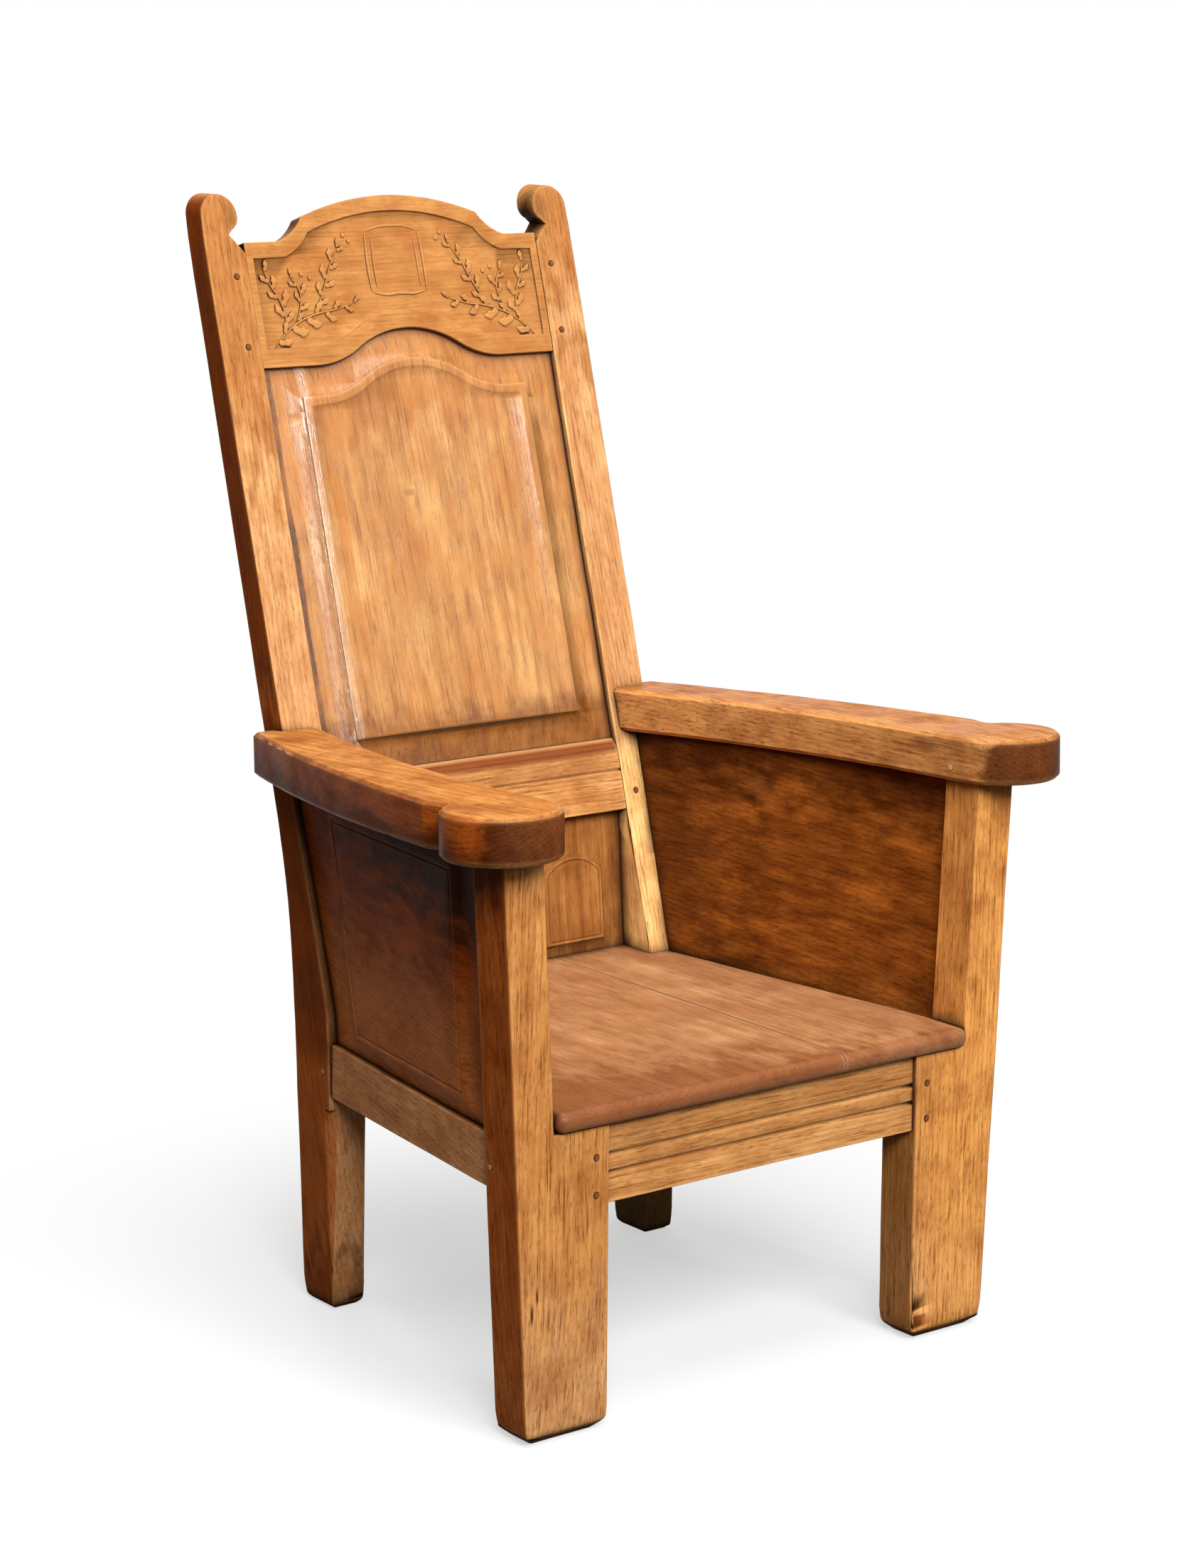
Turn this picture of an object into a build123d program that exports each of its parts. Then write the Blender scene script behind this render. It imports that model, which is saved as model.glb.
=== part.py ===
from build123d import *
import math
import os

os.makedirs("parts", exist_ok=True)

# A joined armchair with a panelled back and panelled sides, known as a wainscot chair.
# Working frame: X to the right as seen from the front, Y to the rear, Z up. The front
# faces of the front posts lie on Y = 0 and the floor on Z = 0. Left and right are as
# seen from the front. All sizes are in millimetres, and each right-hand piece is drawn
# first and mirrored for the left.

# ---- overall heights ----
overall_height = 1140  # floor to the top of the scrolled ears
seat_height = 323  # floor to the top of the seat boards
seat_thickness = 20
arm_height = 619  # top of an arm above the front faces of the posts
arm_thickness = 46
arm_fall = 0.03  # how far an arm drops for each millimetre it runs back

# ---- front posts: wide below the seat, cut back to a narrow upright above it ----
front_leg_clear = 388  # clear width between the front legs
front_foot_reach = 290  # from the middle of the chair to the outside of a foot
front_post_depth = 50
front_post_lean = 0.046  # outward lean for each millimetre of height
front_upright_width = 46
foot_wear = 9  # corners worn off a foot on the floor

# ---- back posts: upright below the seat, raked above it ----
back_clear = 372  # clear width between the back posts
back_post_width = 48
back_foot_width = 39
seat_depth = 421  # from the front faces to the back posts, at seat height
back_rake = 15.6  # degrees from upright
leg_kick = 8  # how much further back the front of the foot stands than the seat line
leg_depth = 55  # front to back, at the foot
post_depth_arm = 36  # horizontal depth of the raked post beside the arm
post_depth_top = 31  # and at the top
bend_reach = 118  # length of the sawn bend behind the seat, each side of its corner
leg_chamfer = 6  # stop-chamfered arris of a back leg

# ---- scrolled ears on top of the back posts ----
ear_radius = 22
ear_notch_depth = 16  # how far the notch under the scroll cuts in
ear_notch_drop = 41  # from the top of the ear down to the root of the notch
ear_shoulder_drop = 60  # from the top of the ear down to the post's inner shoulder
ear_inset = 1  # of the ear's outside from the post's outside
ear_curl = 5.3  # how far the scroll's tip stands in and up from the root of the notch
ear_curl_bow = 2.5

# ---- seat rails ----
front_rail_height = 80
front_rail_thickness = 28
front_rail_setback = 5
back_rail_height = 75
back_rail_thickness = 30
back_rail_inset = 2  # in from the rear faces of the back legs
side_rail_thickness = 24
side_rail_setback = 10  # behind the outside of the front post
side_tenon_depth = 6  # behind the outer face of the side rail
side_rail_drop = 7  # from the seat's underside down to the rail's top, at the front post
side_rail_fall = 8  # further drop of its top at the back leg
side_rail_depth_front = 52
side_rail_depth_back = 58

# ---- moulding run along the front rail: one reed between two quirks ----
quirk_width = 5
quirk_depth = 3.5
quirk_upper_drop = 32  # from the rail's top to the middle of the upper quirk
quirk_lower_drop = 50

# ---- crest rail: cyma-arched top, ogee-arched lower edge, sunk ground for carving ----
crest_crown_drop = 5  # below the tops of the ears
crest_shoulder_drop = 49  # below the tops of the ears, beside the posts
crest_crown_half = 112  # half width of the crown's arc
crest_crown_rise = 21
crest_hollow_half = 144  # where the hollow below the crown meets the shoulder
crest_hollow_bow = 3.2  # how far the hollow dips below its chord
crest_depth = 176  # from the tops of the ears down to the rail's lower edge, beside the posts
crest_thickness = 20
crest_setback = 1.5
crest_border = 17  # moulded border along the top
crest_border_draw = 0.33  # share of the border by which its arcs are drawn in along the rail
crest_foot_border = 20  # plain border along the lower edge
crest_end_border = 9
crest_ground_depth = 3
ogee_half = 118  # half width of the ogee arch
ogee_rise = 35
ogee_lower_share = 0.45  # share of the two radii that the lower, hollow arc takes

# ---- middle rail of the back ----
mid_rail_drop = 66  # from the tops of the arms down to the rail
mid_rail_height = 76
mid_rail_thickness = 30
mid_rail_setback = 1.5
mid_bevel = 10  # sunk bevel along its top edge
mid_bevel_sink = 5
mid_quirk_drop = 34  # from its top to the middle of the scratched quirk
mid_quirk_width = 4
mid_quirk_depth = 2.5

# ---- panels ----
tongue_thickness = 6
groove_depth = 8
panel_play = 1  # room left at the bottom of a groove for the panel to swell
field_step = 1.5  # small square step round a raised field
upper_panel_sink = 9  # back of the posts' faces, at the panel's edge
upper_bevel_rise = 5
upper_margin_side = 43
upper_margin_foot = 34
upper_margin_head = 32
lower_panel_lean = 4.6  # degrees from upright: these panels lean less than the back above
lower_panel_depth = 467.5  # from the front posts' faces to these panels, where they stand on their rail
lower_field_rise = 6
lower_field_width = 83
lower_field_foot = 30  # below the field, to the rail
lower_field_head = 44
lower_field_crown = 20  # height of the rounded head
lower_field_slope = 35  # degrees that the edge of the field slopes back
muntin_width = 98
muntin_thickness = 18
muntin_proud = 8  # in front of the lower panels

# ---- side panels ----
side_splay = 10  # degrees that each side closes in towards the back
side_panel_lean = 3.4  # degrees that each side panel leans outward
side_panel_setback = 6  # behind the rail's outer face
side_panel_thickness = 12
side_margin_end = 62
side_margin_foot = 22
side_margin_head = 26
side_bevel_width = 14
side_field_lean = 0.14  # how far the rear end of the field leans back for each millimetre up
side_field_proud = 5  # in front of the panel's border

# ---- arms: bowed boards ending in a rounded paw ----
arm_inner_front = 254  # from the middle of the chair to the inner edge over the post
arm_inner_back = 193
arm_outer_front = 345
arm_outer_back = 258
arm_outer_bow = 12
arm_straight = 60  # where the inner edge starts to curve, behind the posts' faces
arm_lap = 96  # how far the outer part runs back past the seat line
arm_arris = 4  # its edges, worn flat
paw_radius = 57
paw_overhang = 46  # in front of the posts
paw_sweep = 45  # degrees, from straight back, where the paw's circle ends
paw_nick = 7  # depth of the nick between arm and paw
paw_nick_reach = 28  # from the nick back to where the arm is at its full width

# ---- seat boards ----
seat_nosing = 9  # overhang and rounding of the bullnosed front edge
seat_corner = 10
seat_joint_offset = 92  # the joint between the boards, right of the middle
seat_side_back = 203  # half width of the seat, carried on to the rear of the back legs
seat_side_front = 252  # half width of the seat just behind the front posts

# ---- joinery ----
fit = 0.2  # clearance round tenons, tongues and pegs
tenon_thickness = 10
front_tenon_length = 38
back_tenon_length = 28
leg_tenon_length = 19
tenon_shoulder = 10  # rail left standing above and below a tenon
arm_tenon_width = 20
arm_tenon_height = 26
arm_tenon_length = 22
muntin_tenon_length = 18
muntin_tenon_thickness = 8
peg_radius = 3.2
peg_flats = 8
peg_proud = 1
peg_inset = 15  # from a rail's shoulder to the peg's middle
peg_stop = 10  # wood left uncut behind a blind peg
crest_peg_drop = 83  # from the tops of the ears down to the upper peg of the crest rail
crest_peg_rise = 22  # from the rail's lower edge up to its lower peg
mid_peg_drop = 58  # from the top of the middle rail down to its peg
front_peg_drop = 31  # from the top of the front rail down to its upper peg
front_peg_pitch = 37
back_peg_drop = 28
back_peg_pitch = 28
back_peg_length = 53
arm_peg_length = 54
raked_peg_length = 26
side_peg_length = 24

# ---- worked-out sizes ----
rail_top = seat_height - seat_thickness
mid_rail_top = arm_height - mid_rail_drop
mid_rail_bottom = mid_rail_top - mid_rail_height
crest_spring_height = overall_height - crest_depth
rake = math.radians(back_rake)
lean_angle = math.radians(side_panel_lean)
splay = math.radians(side_splay)
lower_lean = math.radians(lower_panel_lean)
arm_slope = math.atan(arm_fall)
front_clear_half = front_leg_clear / 2
back_clear_half = back_clear / 2
back_outer = back_clear_half + back_post_width
side_rail_top = rail_top - side_rail_drop
side_rail_outer = front_foot_reach + front_post_lean * rail_top - side_rail_setback
far = 2 * overall_height  # longer than anything in the chair


def back_face(z):
    """Y of the raked front faces of the back posts at height z."""
    return seat_depth + (z - seat_height) * math.tan(rake)


def leg_face(z):
    """Y of the front faces of the back legs, below the seat."""
    return seat_depth + leg_kick * (1 - z / seat_height)


def arm_top(y):
    """Height of the arm's upper face at depth y."""
    return arm_height - arm_fall * y


def arm_under(y):
    """Height of the arm's lower face at depth y."""
    return arm_top(y) - arm_thickness


def post_outer(z):
    """X of the outside of a front post at height z."""
    return front_foot_reach + front_post_lean * z


def up_rake(z):
    """Distance up the raked face of the back from seat height to height z."""
    return (z - seat_height) / math.cos(rake)


def up_lower_back(z):
    """Distance up the lower panels' faces from the back seat rail's top to height z."""
    return (z - rail_top) / math.cos(lower_lean)


# Where the underside of an arm meets the raked face of the back.
arm_meets_back = (back_face(arm_height - arm_thickness)) / (1 + arm_fall * math.tan(rake))

# The raked face of the back, with X across, Y up the rake and Z out to the front.
back_plane = Plane(
    origin=(0, seat_depth, seat_height),
    x_dir=(1, 0, 0),
    z_dir=(0, -math.cos(rake), math.sin(rake)),
)

# The faces of the lower panels, with X across, Y upward and Z out to the front.
lower_plane = Plane(
    origin=(0, lower_panel_depth, rail_top),
    x_dir=(1, 0, 0),
    z_dir=(0, -math.cos(lower_lean), math.sin(lower_lean)),
)

# The outer face of the right side rail, with X to the rear, Y up and Z outward.
side_plane = Plane(
    origin=(side_rail_outer, front_post_depth, side_rail_top),
    x_dir=(-math.sin(splay), math.cos(splay), 0),
    z_dir=(math.cos(splay), math.sin(splay), 0),
)

# The outer face of the right side panel's border, leaning outward from the rail's top.
panel_plane = Plane(
    origin=side_plane.origin - side_plane.z_dir * side_panel_setback,
    x_dir=side_plane.x_dir,
    z_dir=(
        math.cos(splay) * math.cos(lean_angle),
        math.sin(splay) * math.cos(lean_angle),
        -math.sin(lean_angle),
    ),
)


# ---- shapes used again and again ----
def polygon(*points):
    """A flat face from its corners."""
    return make_face(Polyline(*points, close=True))


def through_x(face, low, high):
    """A face drawn in Y and Z, thickened along X."""
    return extrude(Plane.YZ.offset(low) * face, amount=high - low)


def through_y(face, low, high):
    """A face drawn in X and Z, thickened along Y."""
    return extrude(Plane.XZ.offset(-low) * face, amount=low - high)


def block(x, y, z):
    """A box from its ranges along X, Y and Z."""
    size = Box(x[1] - x[0], y[1] - y[0], z[1] - z[0])
    return Pos((x[0] + x[1]) / 2, (y[0] + y[1]) / 2, (z[0] + z[1]) / 2) * size


def rectangle(x, y):
    """A flat rectangle from its ranges along X and Y."""
    size = Rectangle(x[1] - x[0], y[1] - y[0])
    return Pos((x[0] + x[1]) / 2, (y[0] + y[1]) / 2) * size


def set_back(face, depth, thickness, plane=back_plane):
    """A face drawn on a plane of the back, thickened to the rear from a depth behind it."""
    return extrude(plane.offset(-depth) * face, amount=-thickness)


def left_of(piece):
    """The mirror image of a right-hand piece."""
    return mirror(piece, about=Plane.YZ)


def peg(start, direction, length):
    """A riven peg, shaved to eight flats, from just proud of a face along a direction."""
    place = Plane(origin=start, z_dir=direction).offset(-peg_proud)
    return extrude(place * RegularPolygon(peg_radius, peg_flats), amount=length)


def peg_hole(start, direction, length):
    """The hole for a peg, a little wider and open at the face."""
    place = Plane(origin=start, z_dir=direction).offset(-peg_proud - fit)
    return extrude(place * RegularPolygon(peg_radius + fit, peg_flats), amount=length + 2 * fit)


def ogee_head(half, spring, rise, edge):
    """Lines of an ogee arch across a head, from the right edge to the left."""
    radii = (half**2 + rise**2) / (2 * rise)
    hollow = radii * ogee_lower_share
    crown = radii - hollow
    turn = math.asin(half / radii)
    join = (crown * math.sin(turn), spring + rise - crown * (1 - math.cos(turn)))
    middle = (half - hollow * math.sin(turn / 2), spring + hollow * (1 - math.cos(turn / 2)))
    lines = Line((edge, spring), (half, spring))
    lines += ThreePointArc((half, spring), middle, join)
    lines += ThreePointArc(join, (0, spring + rise), (-join[0], join[1]))
    lines += ThreePointArc((-join[0], join[1]), (-middle[0], middle[1]), (-half, spring))
    lines += Line((-half, spring), (-edge, spring))
    return lines


def arched_face(edge, foot, spring):
    """A panel outline with a straight foot and an ogee-arched head."""
    sides = Polyline((-edge, spring), (-edge, foot), (edge, foot), (edge, spring))
    return make_face(sides + ogee_head(ogee_half, spring, ogee_rise, edge))


# ---- back posts ----
def back_post_side():
    """Side view of a back post in Y and Z: raked above the seat, upright below."""
    leg_back = leg_face(0) + leg_depth
    top_back = back_face(overall_height) + post_depth_top
    arm_back = back_face(arm_height) + post_depth_arm
    slope = math.atan2(top_back - arm_back, overall_height - arm_height)
    corner = arm_height - (arm_back - leg_back) / math.tan(slope)
    radius = bend_reach / math.tan(slope / 2)
    low = (leg_back, corner - bend_reach)
    high = (leg_back + bend_reach * math.sin(slope), corner + bend_reach * math.cos(slope))
    middle = (low[0] + radius * (1 - math.cos(slope / 2)), low[1] + radius * math.sin(slope / 2))
    top_front = back_face(overall_height)
    front = Polyline(
        low,
        (leg_back, 0),
        (leg_face(0), 0),
        (seat_depth, seat_height),
        (top_front, overall_height),
    )
    rear = Line((top_front, overall_height), (top_back, overall_height))
    rear += Line((top_back, overall_height), high)
    rear += ThreePointArc(high, middle, low)
    return make_face(front + rear)


def back_post_front():
    """Front view of the right back post in X and Z, with its ear scrolled inward."""
    centre_x = back_outer - ear_radius - ear_inset
    centre_z = overall_height - ear_radius
    right = (centre_x + ear_radius, centre_z)
    left = (centre_x - ear_radius, centre_z)
    root = (back_clear_half + ear_notch_depth, overall_height - ear_notch_drop)
    curl = (root[0] - ear_curl, root[1] + ear_curl)
    curl_bow = (left[0] + ear_curl_bow, (left[1] + curl[1]) / 2 - ear_curl_bow)
    shoulder = (back_clear_half, overall_height - ear_shoulder_drop)
    lines = Polyline(
        shoulder,
        (back_clear_half, 0),
        (back_clear_half + back_foot_width, 0),
        (back_outer, seat_height),
        (back_outer, centre_z - ear_radius),
        right,
    )
    lines += ThreePointArc(right, (centre_x, overall_height), left)
    lines += ThreePointArc(left, curl_bow, curl)
    lines += Polyline(curl, root, shoulder)
    return make_face(lines)


def back_post():
    """The right back post before its joints are cut."""
    body = through_x(back_post_side(), 0, far) & through_y(back_post_front(), 0, far)
    stop = side_rail_top - side_rail_fall - side_rail_depth_back - 2 * leg_chamfer
    corner_x = back_clear_half + back_foot_width
    arris = polygon(
        (corner_x - leg_chamfer, leg_face(0) - leg_chamfer),
        (corner_x + 2 * leg_chamfer, leg_face(0) - leg_chamfer),
        (corner_x + 2 * leg_chamfer, leg_face(0) + 2 * leg_chamfer),
    )
    feet = body.faces().sort_by(Axis.Z)[0].edges()
    return chamfer(feet, foot_wear / 2) - extrude(arris, amount=stop)


# ---- front posts ----
def front_post():
    """The right front post with its shoulder for the seat and its tenon for the arm."""
    top = arm_height
    outline = polygon(
        (front_clear_half, 0),
        (front_foot_reach, 0),
        (post_outer(top), top),
        (post_outer(top) - front_upright_width, top),
        (post_outer(rail_top) - front_upright_width, rail_top),
        (front_clear_half, rail_top),
    )
    body = through_y(outline, 0, front_post_depth)
    body -= above_arm_underside()
    feet = body.faces().sort_by(Axis.Z)[0].edges()
    body = chamfer(feet, foot_wear)
    return body + arm_front_tenon(0)


def above_arm_underside():
    """Everything above the plane of the arms' lower faces."""
    face = polygon((-far, arm_under(-far)), (far, arm_under(far)), (far, far), (-far, far))
    return through_x(face, -far, far)


def arm_front_tenon(grow):
    """The tenon on top of a front post, or the hole for it when it is grown."""
    middle = post_outer(arm_under(0)) - front_upright_width / 2
    half = arm_tenon_width / 2 + grow
    front = (front_post_depth - arm_tenon_height) / 2 - grow
    back = (front_post_depth + arm_tenon_height) / 2 + grow
    foot = arm_under(front_post_depth) - tenon_shoulder
    top = arm_under(0) + arm_tenon_length + grow
    return block((middle - half, middle + half), (front, back), (foot, top))


# ---- arms ----
def arm_outline():
    """Plan of the right arm, from its rounded paw to its lap beside the back post."""
    paw_x = arm_inner_front + paw_radius
    paw_y = paw_radius - paw_overhang
    paw_turn = math.radians(paw_sweep)
    paw_back = (paw_x + paw_radius * math.sin(paw_turn), paw_y + paw_radius * math.cos(paw_turn))
    paw_inner = (arm_inner_front, paw_y)
    nick = (arm_outer_front - paw_nick, paw_radius + paw_nick / 2)
    outer_front = (arm_outer_front, nick[1] + paw_nick_reach)
    end_y = seat_depth + arm_lap
    outer_back = (arm_outer_back, end_y)
    bow = ((arm_outer_front + arm_outer_back) / 2 + arm_outer_bow, (outer_front[1] + end_y) / 2)
    inner_face = (arm_inner_back, arm_meets_back)
    inner_lead = (arm_inner_front, arm_straight)
    lines = ThreePointArc(paw_back, (paw_x, paw_y - paw_radius), paw_inner)
    lines += Line(paw_inner, inner_lead)
    lines += TangentArc(inner_lead, inner_face, tangent=(0, 1))
    lines += Polyline(inner_face, (arm_inner_back, end_y), outer_back)
    lines += ThreePointArc(outer_back, bow, outer_front)
    lines += Polyline(outer_front, nick, paw_back)
    outline = make_face(lines)
    nicks = []
    for corner in outline.vertices():
        if any(math.dist((corner.X, corner.Y), point) < fit for point in (paw_back, nick, outer_front)):
            nicks.append(corner)
    return fillet(nicks, paw_nick)


def arm():
    """The right arm, notched round the back post and tenoned into its front face."""
    place = Pos(0, 0, arm_height) * Rot(-math.degrees(arm_slope), 0, 0)
    board = extrude(arm_outline(), amount=-arm_thickness * math.cos(arm_slope))
    upper = board.faces().sort_by(Axis.Z)[-1].edges()
    lower = board.faces().sort_by(Axis.Z)[0].edges()
    body = place * chamfer(upper + lower, arm_arris)
    behind = polygon((back_face(0), 0), (far, 0), (far, far), (back_face(far), far))
    return body - through_x(behind, 0, back_outer) + arm_back_tenon(0)


def arm_back_tenon(grow):
    """The tenon from an arm into the front of the back post, or the hole for it."""
    middle_x = (back_clear_half + back_outer) / 2
    base = back_face(arm_height - arm_thickness / 2)
    middle_z = arm_top(base) - arm_thickness / 2
    half_x = arm_tenon_width / 2 + grow
    half_z = arm_tenon_height / 2 + grow
    return block(
        (middle_x - half_x, middle_x + half_x),
        (base - arm_tenon_length, base + arm_tenon_length + grow),
        (middle_z - half_z, middle_z + half_z),
    )


# ---- rails ----
def cross_tenon(half_span, length, y, z, grow):
    """A tenon that runs right across the chair and into both posts."""
    reach = half_span + length + grow
    return block((-reach, reach), (y[0] - grow, y[1] + grow), (z[0] - grow, z[1] + grow))


def front_rail_tenons(grow):
    """The tenons of the front rail, or the holes for them when they are grown."""
    middle = front_rail_setback + front_rail_thickness / 2
    y = (middle - tenon_thickness / 2, middle + tenon_thickness / 2)
    z = (rail_top - front_rail_height + tenon_shoulder, rail_top - tenon_shoulder)
    return cross_tenon(front_clear_half, front_tenon_length, y, z, grow)


def front_seat_rail():
    """The front seat rail, run with a reed between two quirks."""
    face = front_rail_setback
    back = face + front_rail_thickness
    foot = rail_top - front_rail_height
    body = block((-front_clear_half, front_clear_half), (face, back), (foot, rail_top))
    for drop in (quirk_upper_drop, quirk_lower_drop):
        level = rail_top - drop
        quirk = polygon(
            (face, level + quirk_width / 2), (face + quirk_depth, level), (face, level - quirk_width / 2)
        )
        body -= through_x(quirk, -front_clear_half, front_clear_half)
    return body + front_rail_tenons(0)


def back_rail_front():
    """Y of the front face of the back seat rail."""
    return leg_face(0) + leg_depth - back_rail_inset - back_rail_thickness


def back_rail_tenons(grow):
    """The tenons of the back seat rail, or the holes for them."""
    middle = back_rail_front() + back_rail_thickness / 2
    y = (middle - tenon_thickness / 2, middle + tenon_thickness / 2)
    z = (rail_top - back_rail_height + tenon_shoulder, rail_top - 2 * tenon_shoulder)
    return cross_tenon(back_clear_half, leg_tenon_length, y, z, grow)


def back_seat_rail():
    """The back seat rail, which carries the seat boards and the lower panels."""
    y = (back_rail_front(), back_rail_front() + back_rail_thickness)
    body = block((-back_clear_half, back_clear_half), y, (rail_top - back_rail_height, rail_top))
    return body + back_rail_tenons(0)


def side_bay(grow):
    """The space between a front post and a back post, seen from the side."""
    sole = leg_face(0) + grow
    return through_x(
        polygon(
            (front_post_depth - grow, 0),
            (sole, 0),
            (seat_depth + grow, seat_height),
            (back_face(arm_height) + grow, arm_height),
            (front_post_depth - grow, arm_height),
        ),
        0,
        far,
    )


def side_rail_blank(thickness, depth, low_cut, high_cut, grow):
    """A straight bar along the side, between sloping top and bottom edges."""
    run = seat_depth
    start = -front_post_depth
    fall = side_rail_fall / run
    swell = (side_rail_depth_back - side_rail_depth_front) / run
    ends = [start * 2, run * 2]
    top = [-fall * t - high_cut + grow for t in ends]
    foot = [-fall * t - side_rail_depth_front - swell * t + low_cut - grow for t in ends]
    face = polygon((ends[0], foot[0]), (ends[1], foot[1]), (ends[1], top[1]), (ends[0], top[0]))
    return extrude(side_plane.offset(grow - depth) * face, amount=-thickness - 2 * grow)


def side_rail_tenons(grow):
    """The tenons of the right side rail, or the holes for them when they are grown."""
    bar = side_rail_blank(tenon_thickness, side_tenon_depth, tenon_shoulder, tenon_shoulder, grow)
    return bar & side_bay(leg_tenon_length + grow)


def side_seat_rail():
    """The right side rail, splayed to follow the seat and grooved for the side panel."""
    body = side_rail_blank(side_rail_thickness, 0, 0, 0, 0) & side_bay(0)
    return body + side_rail_tenons(0)


def crest_tenons(grow):
    """The tenons of the crest rail, or the holes for them."""
    depth = crest_setback + (crest_thickness - tenon_thickness) / 2
    half = back_clear_half + back_tenon_length + grow
    low = up_rake(crest_spring_height) + tenon_shoulder - grow
    high = up_rake(overall_height - crest_shoulder_drop) - 2 * tenon_shoulder + grow
    between = back_clear_half - tenon_shoulder
    bar = rectangle((-half, half), (low, high))
    ends = bar - rectangle((-between, between), (low - tenon_shoulder, high + tenon_shoulder))
    return set_back(ends, depth - grow, tenon_thickness + 2 * grow)


def crest_top_line(drop, edge):
    """The cyma line of the crest's top, lowered by a border's width."""
    shoulder = up_rake(overall_height - crest_shoulder_drop) - drop
    crown = up_rake(overall_height - crest_crown_drop) - drop
    crown_half = crest_crown_half - drop * crest_border_draw
    hollow_half = crest_hollow_half - drop * crest_border_draw
    fall = crown - crest_crown_rise
    middle_x = (crown_half + hollow_half - crest_hollow_bow) / 2
    middle = (middle_x, (fall + shoulder) / 2 - crest_hollow_bow)
    lines = Line((-edge, shoulder), (-hollow_half, shoulder))
    lines += ThreePointArc((-hollow_half, shoulder), (-middle_x, middle[1]), (-crown_half, fall))
    lines += ThreePointArc((-crown_half, fall), (0, crown), (crown_half, fall))
    lines += ThreePointArc((crown_half, fall), middle, (hollow_half, shoulder))
    lines += Line((hollow_half, shoulder), (edge, shoulder))
    return lines, shoulder


def crest_face(border_top, border_foot, border_end):
    """Outline of the crest rail, drawn in by a border on each side."""
    edge = back_clear_half - border_end
    spring = up_rake(crest_spring_height) + border_foot
    top, shoulder = crest_top_line(border_top, edge)
    lines = top + ogee_head(ogee_half, spring, ogee_rise, edge)
    lines += Line((-edge, spring), (-edge, shoulder))
    lines += Line((edge, shoulder), (edge, spring))
    return make_face(lines)


def crest_rail():
    """The crest rail, arched above and below, with a sunk ground for its carving."""
    body = set_back(crest_face(0, 0, 0), crest_setback, crest_thickness)
    ground = crest_face(crest_border, crest_foot_border, crest_end_border)
    body -= set_back(ground, 0, crest_setback + crest_ground_depth)
    return body + crest_tenons(0)


def mid_rail_tenons(grow):
    """The tenons of the middle rail, or the holes for them."""
    depth = mid_rail_setback + (mid_rail_thickness - tenon_thickness) / 2
    half = back_clear_half + back_tenon_length + grow
    low = up_rake(mid_rail_bottom) + tenon_shoulder - grow
    high = up_rake(mid_rail_top) - tenon_shoulder + grow
    return set_back(rectangle((-half, half), (low, high)), depth - grow, tenon_thickness + 2 * grow)


def mid_back_rail():
    """The middle rail of the back, with a sunk bevel and a scratched quirk."""
    low, high = up_rake(mid_rail_bottom), up_rake(mid_rail_top)
    edges = (-back_clear_half, back_clear_half)
    body = set_back(rectangle(edges, (low, high)), mid_rail_setback, mid_rail_thickness)
    across = Plane(origin=back_plane.origin, x_dir=-back_plane.z_dir, z_dir=(1, 0, 0))
    bevel = polygon(
        (0, high - mid_bevel),
        (mid_rail_setback, high - mid_bevel),
        (mid_rail_setback + mid_bevel_sink, high),
        (mid_rail_setback + mid_bevel_sink, high + mid_bevel),
        (0, high + mid_bevel),
    )
    level = up_rake(mid_rail_top - mid_quirk_drop)
    quirk = polygon(
        (mid_rail_setback, level + mid_quirk_width / 2),
        (mid_rail_setback + mid_quirk_depth, level),
        (mid_rail_setback, level - mid_quirk_width / 2),
    )
    for cut in (bevel, quirk):
        body -= extrude(across.offset(-back_clear_half) * cut, amount=back_clear)
    return body + mid_rail_tenons(0)


def below_rail_top():
    """Everything below the top of the back seat rail."""
    return block((-far, far), (-far, far), (-far, rail_top))


def above_mid_rail_underside():
    """Everything above the plane of the middle rail's lower edge."""
    return set_back(rectangle((-far, far), (up_rake(mid_rail_bottom), far)), -far, 2 * far)


def muntin_tenons(grow):
    """The stub tenons of the muntin, or the holes for them."""
    half = muntin_width / 2 - tongue_thickness + grow
    depth = (muntin_thickness - muntin_tenon_thickness) / 2 - muntin_proud
    low = -muntin_tenon_length - grow
    high = up_lower_back(mid_rail_bottom) + muntin_tenon_length + grow
    face = rectangle((-half, half), (low, high))
    return set_back(face, depth - grow, muntin_tenon_thickness + 2 * grow, lower_plane)


def lower_back_muntin():
    """The upright between the lower panels."""
    half = muntin_width / 2
    sheet = rectangle((-half, half), (-rail_top, rail_top))
    bar = set_back(sheet, -muntin_proud, muntin_thickness, lower_plane)
    return bar - below_rail_top() - above_mid_rail_underside() + muntin_tenons(0)


# ---- panels ----
def upper_tongue(grow):
    """The upper panel's edge all round, or the grooves for it when it is grown."""
    reach = groove_depth - panel_play + grow * panel_play / fit
    face = arched_face(
        back_clear_half + reach, up_rake(mid_rail_top) - reach, up_rake(crest_spring_height) + reach
    )
    return set_back(face, upper_panel_sink - grow, tongue_thickness + 2 * grow)


def upper_back_panel():
    """The arched panel, raised and fielded on its front."""
    foot, spring = up_rake(mid_rail_top), up_rake(crest_spring_height)
    sight = arched_face(back_clear_half - fit, foot + fit, spring - fit)
    field = arched_face(
        back_clear_half - upper_margin_side, foot + upper_margin_foot, spring - upper_margin_head
    )
    low = back_plane.offset(-upper_panel_sink)
    high = back_plane.offset(upper_bevel_rise - upper_panel_sink)
    bevel = loft([low * sight, high * field], ruled=True)
    plate = set_back(field, upper_panel_sink - upper_bevel_rise - field_step, field_step)
    return upper_tongue(0) + bevel + plate


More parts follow.
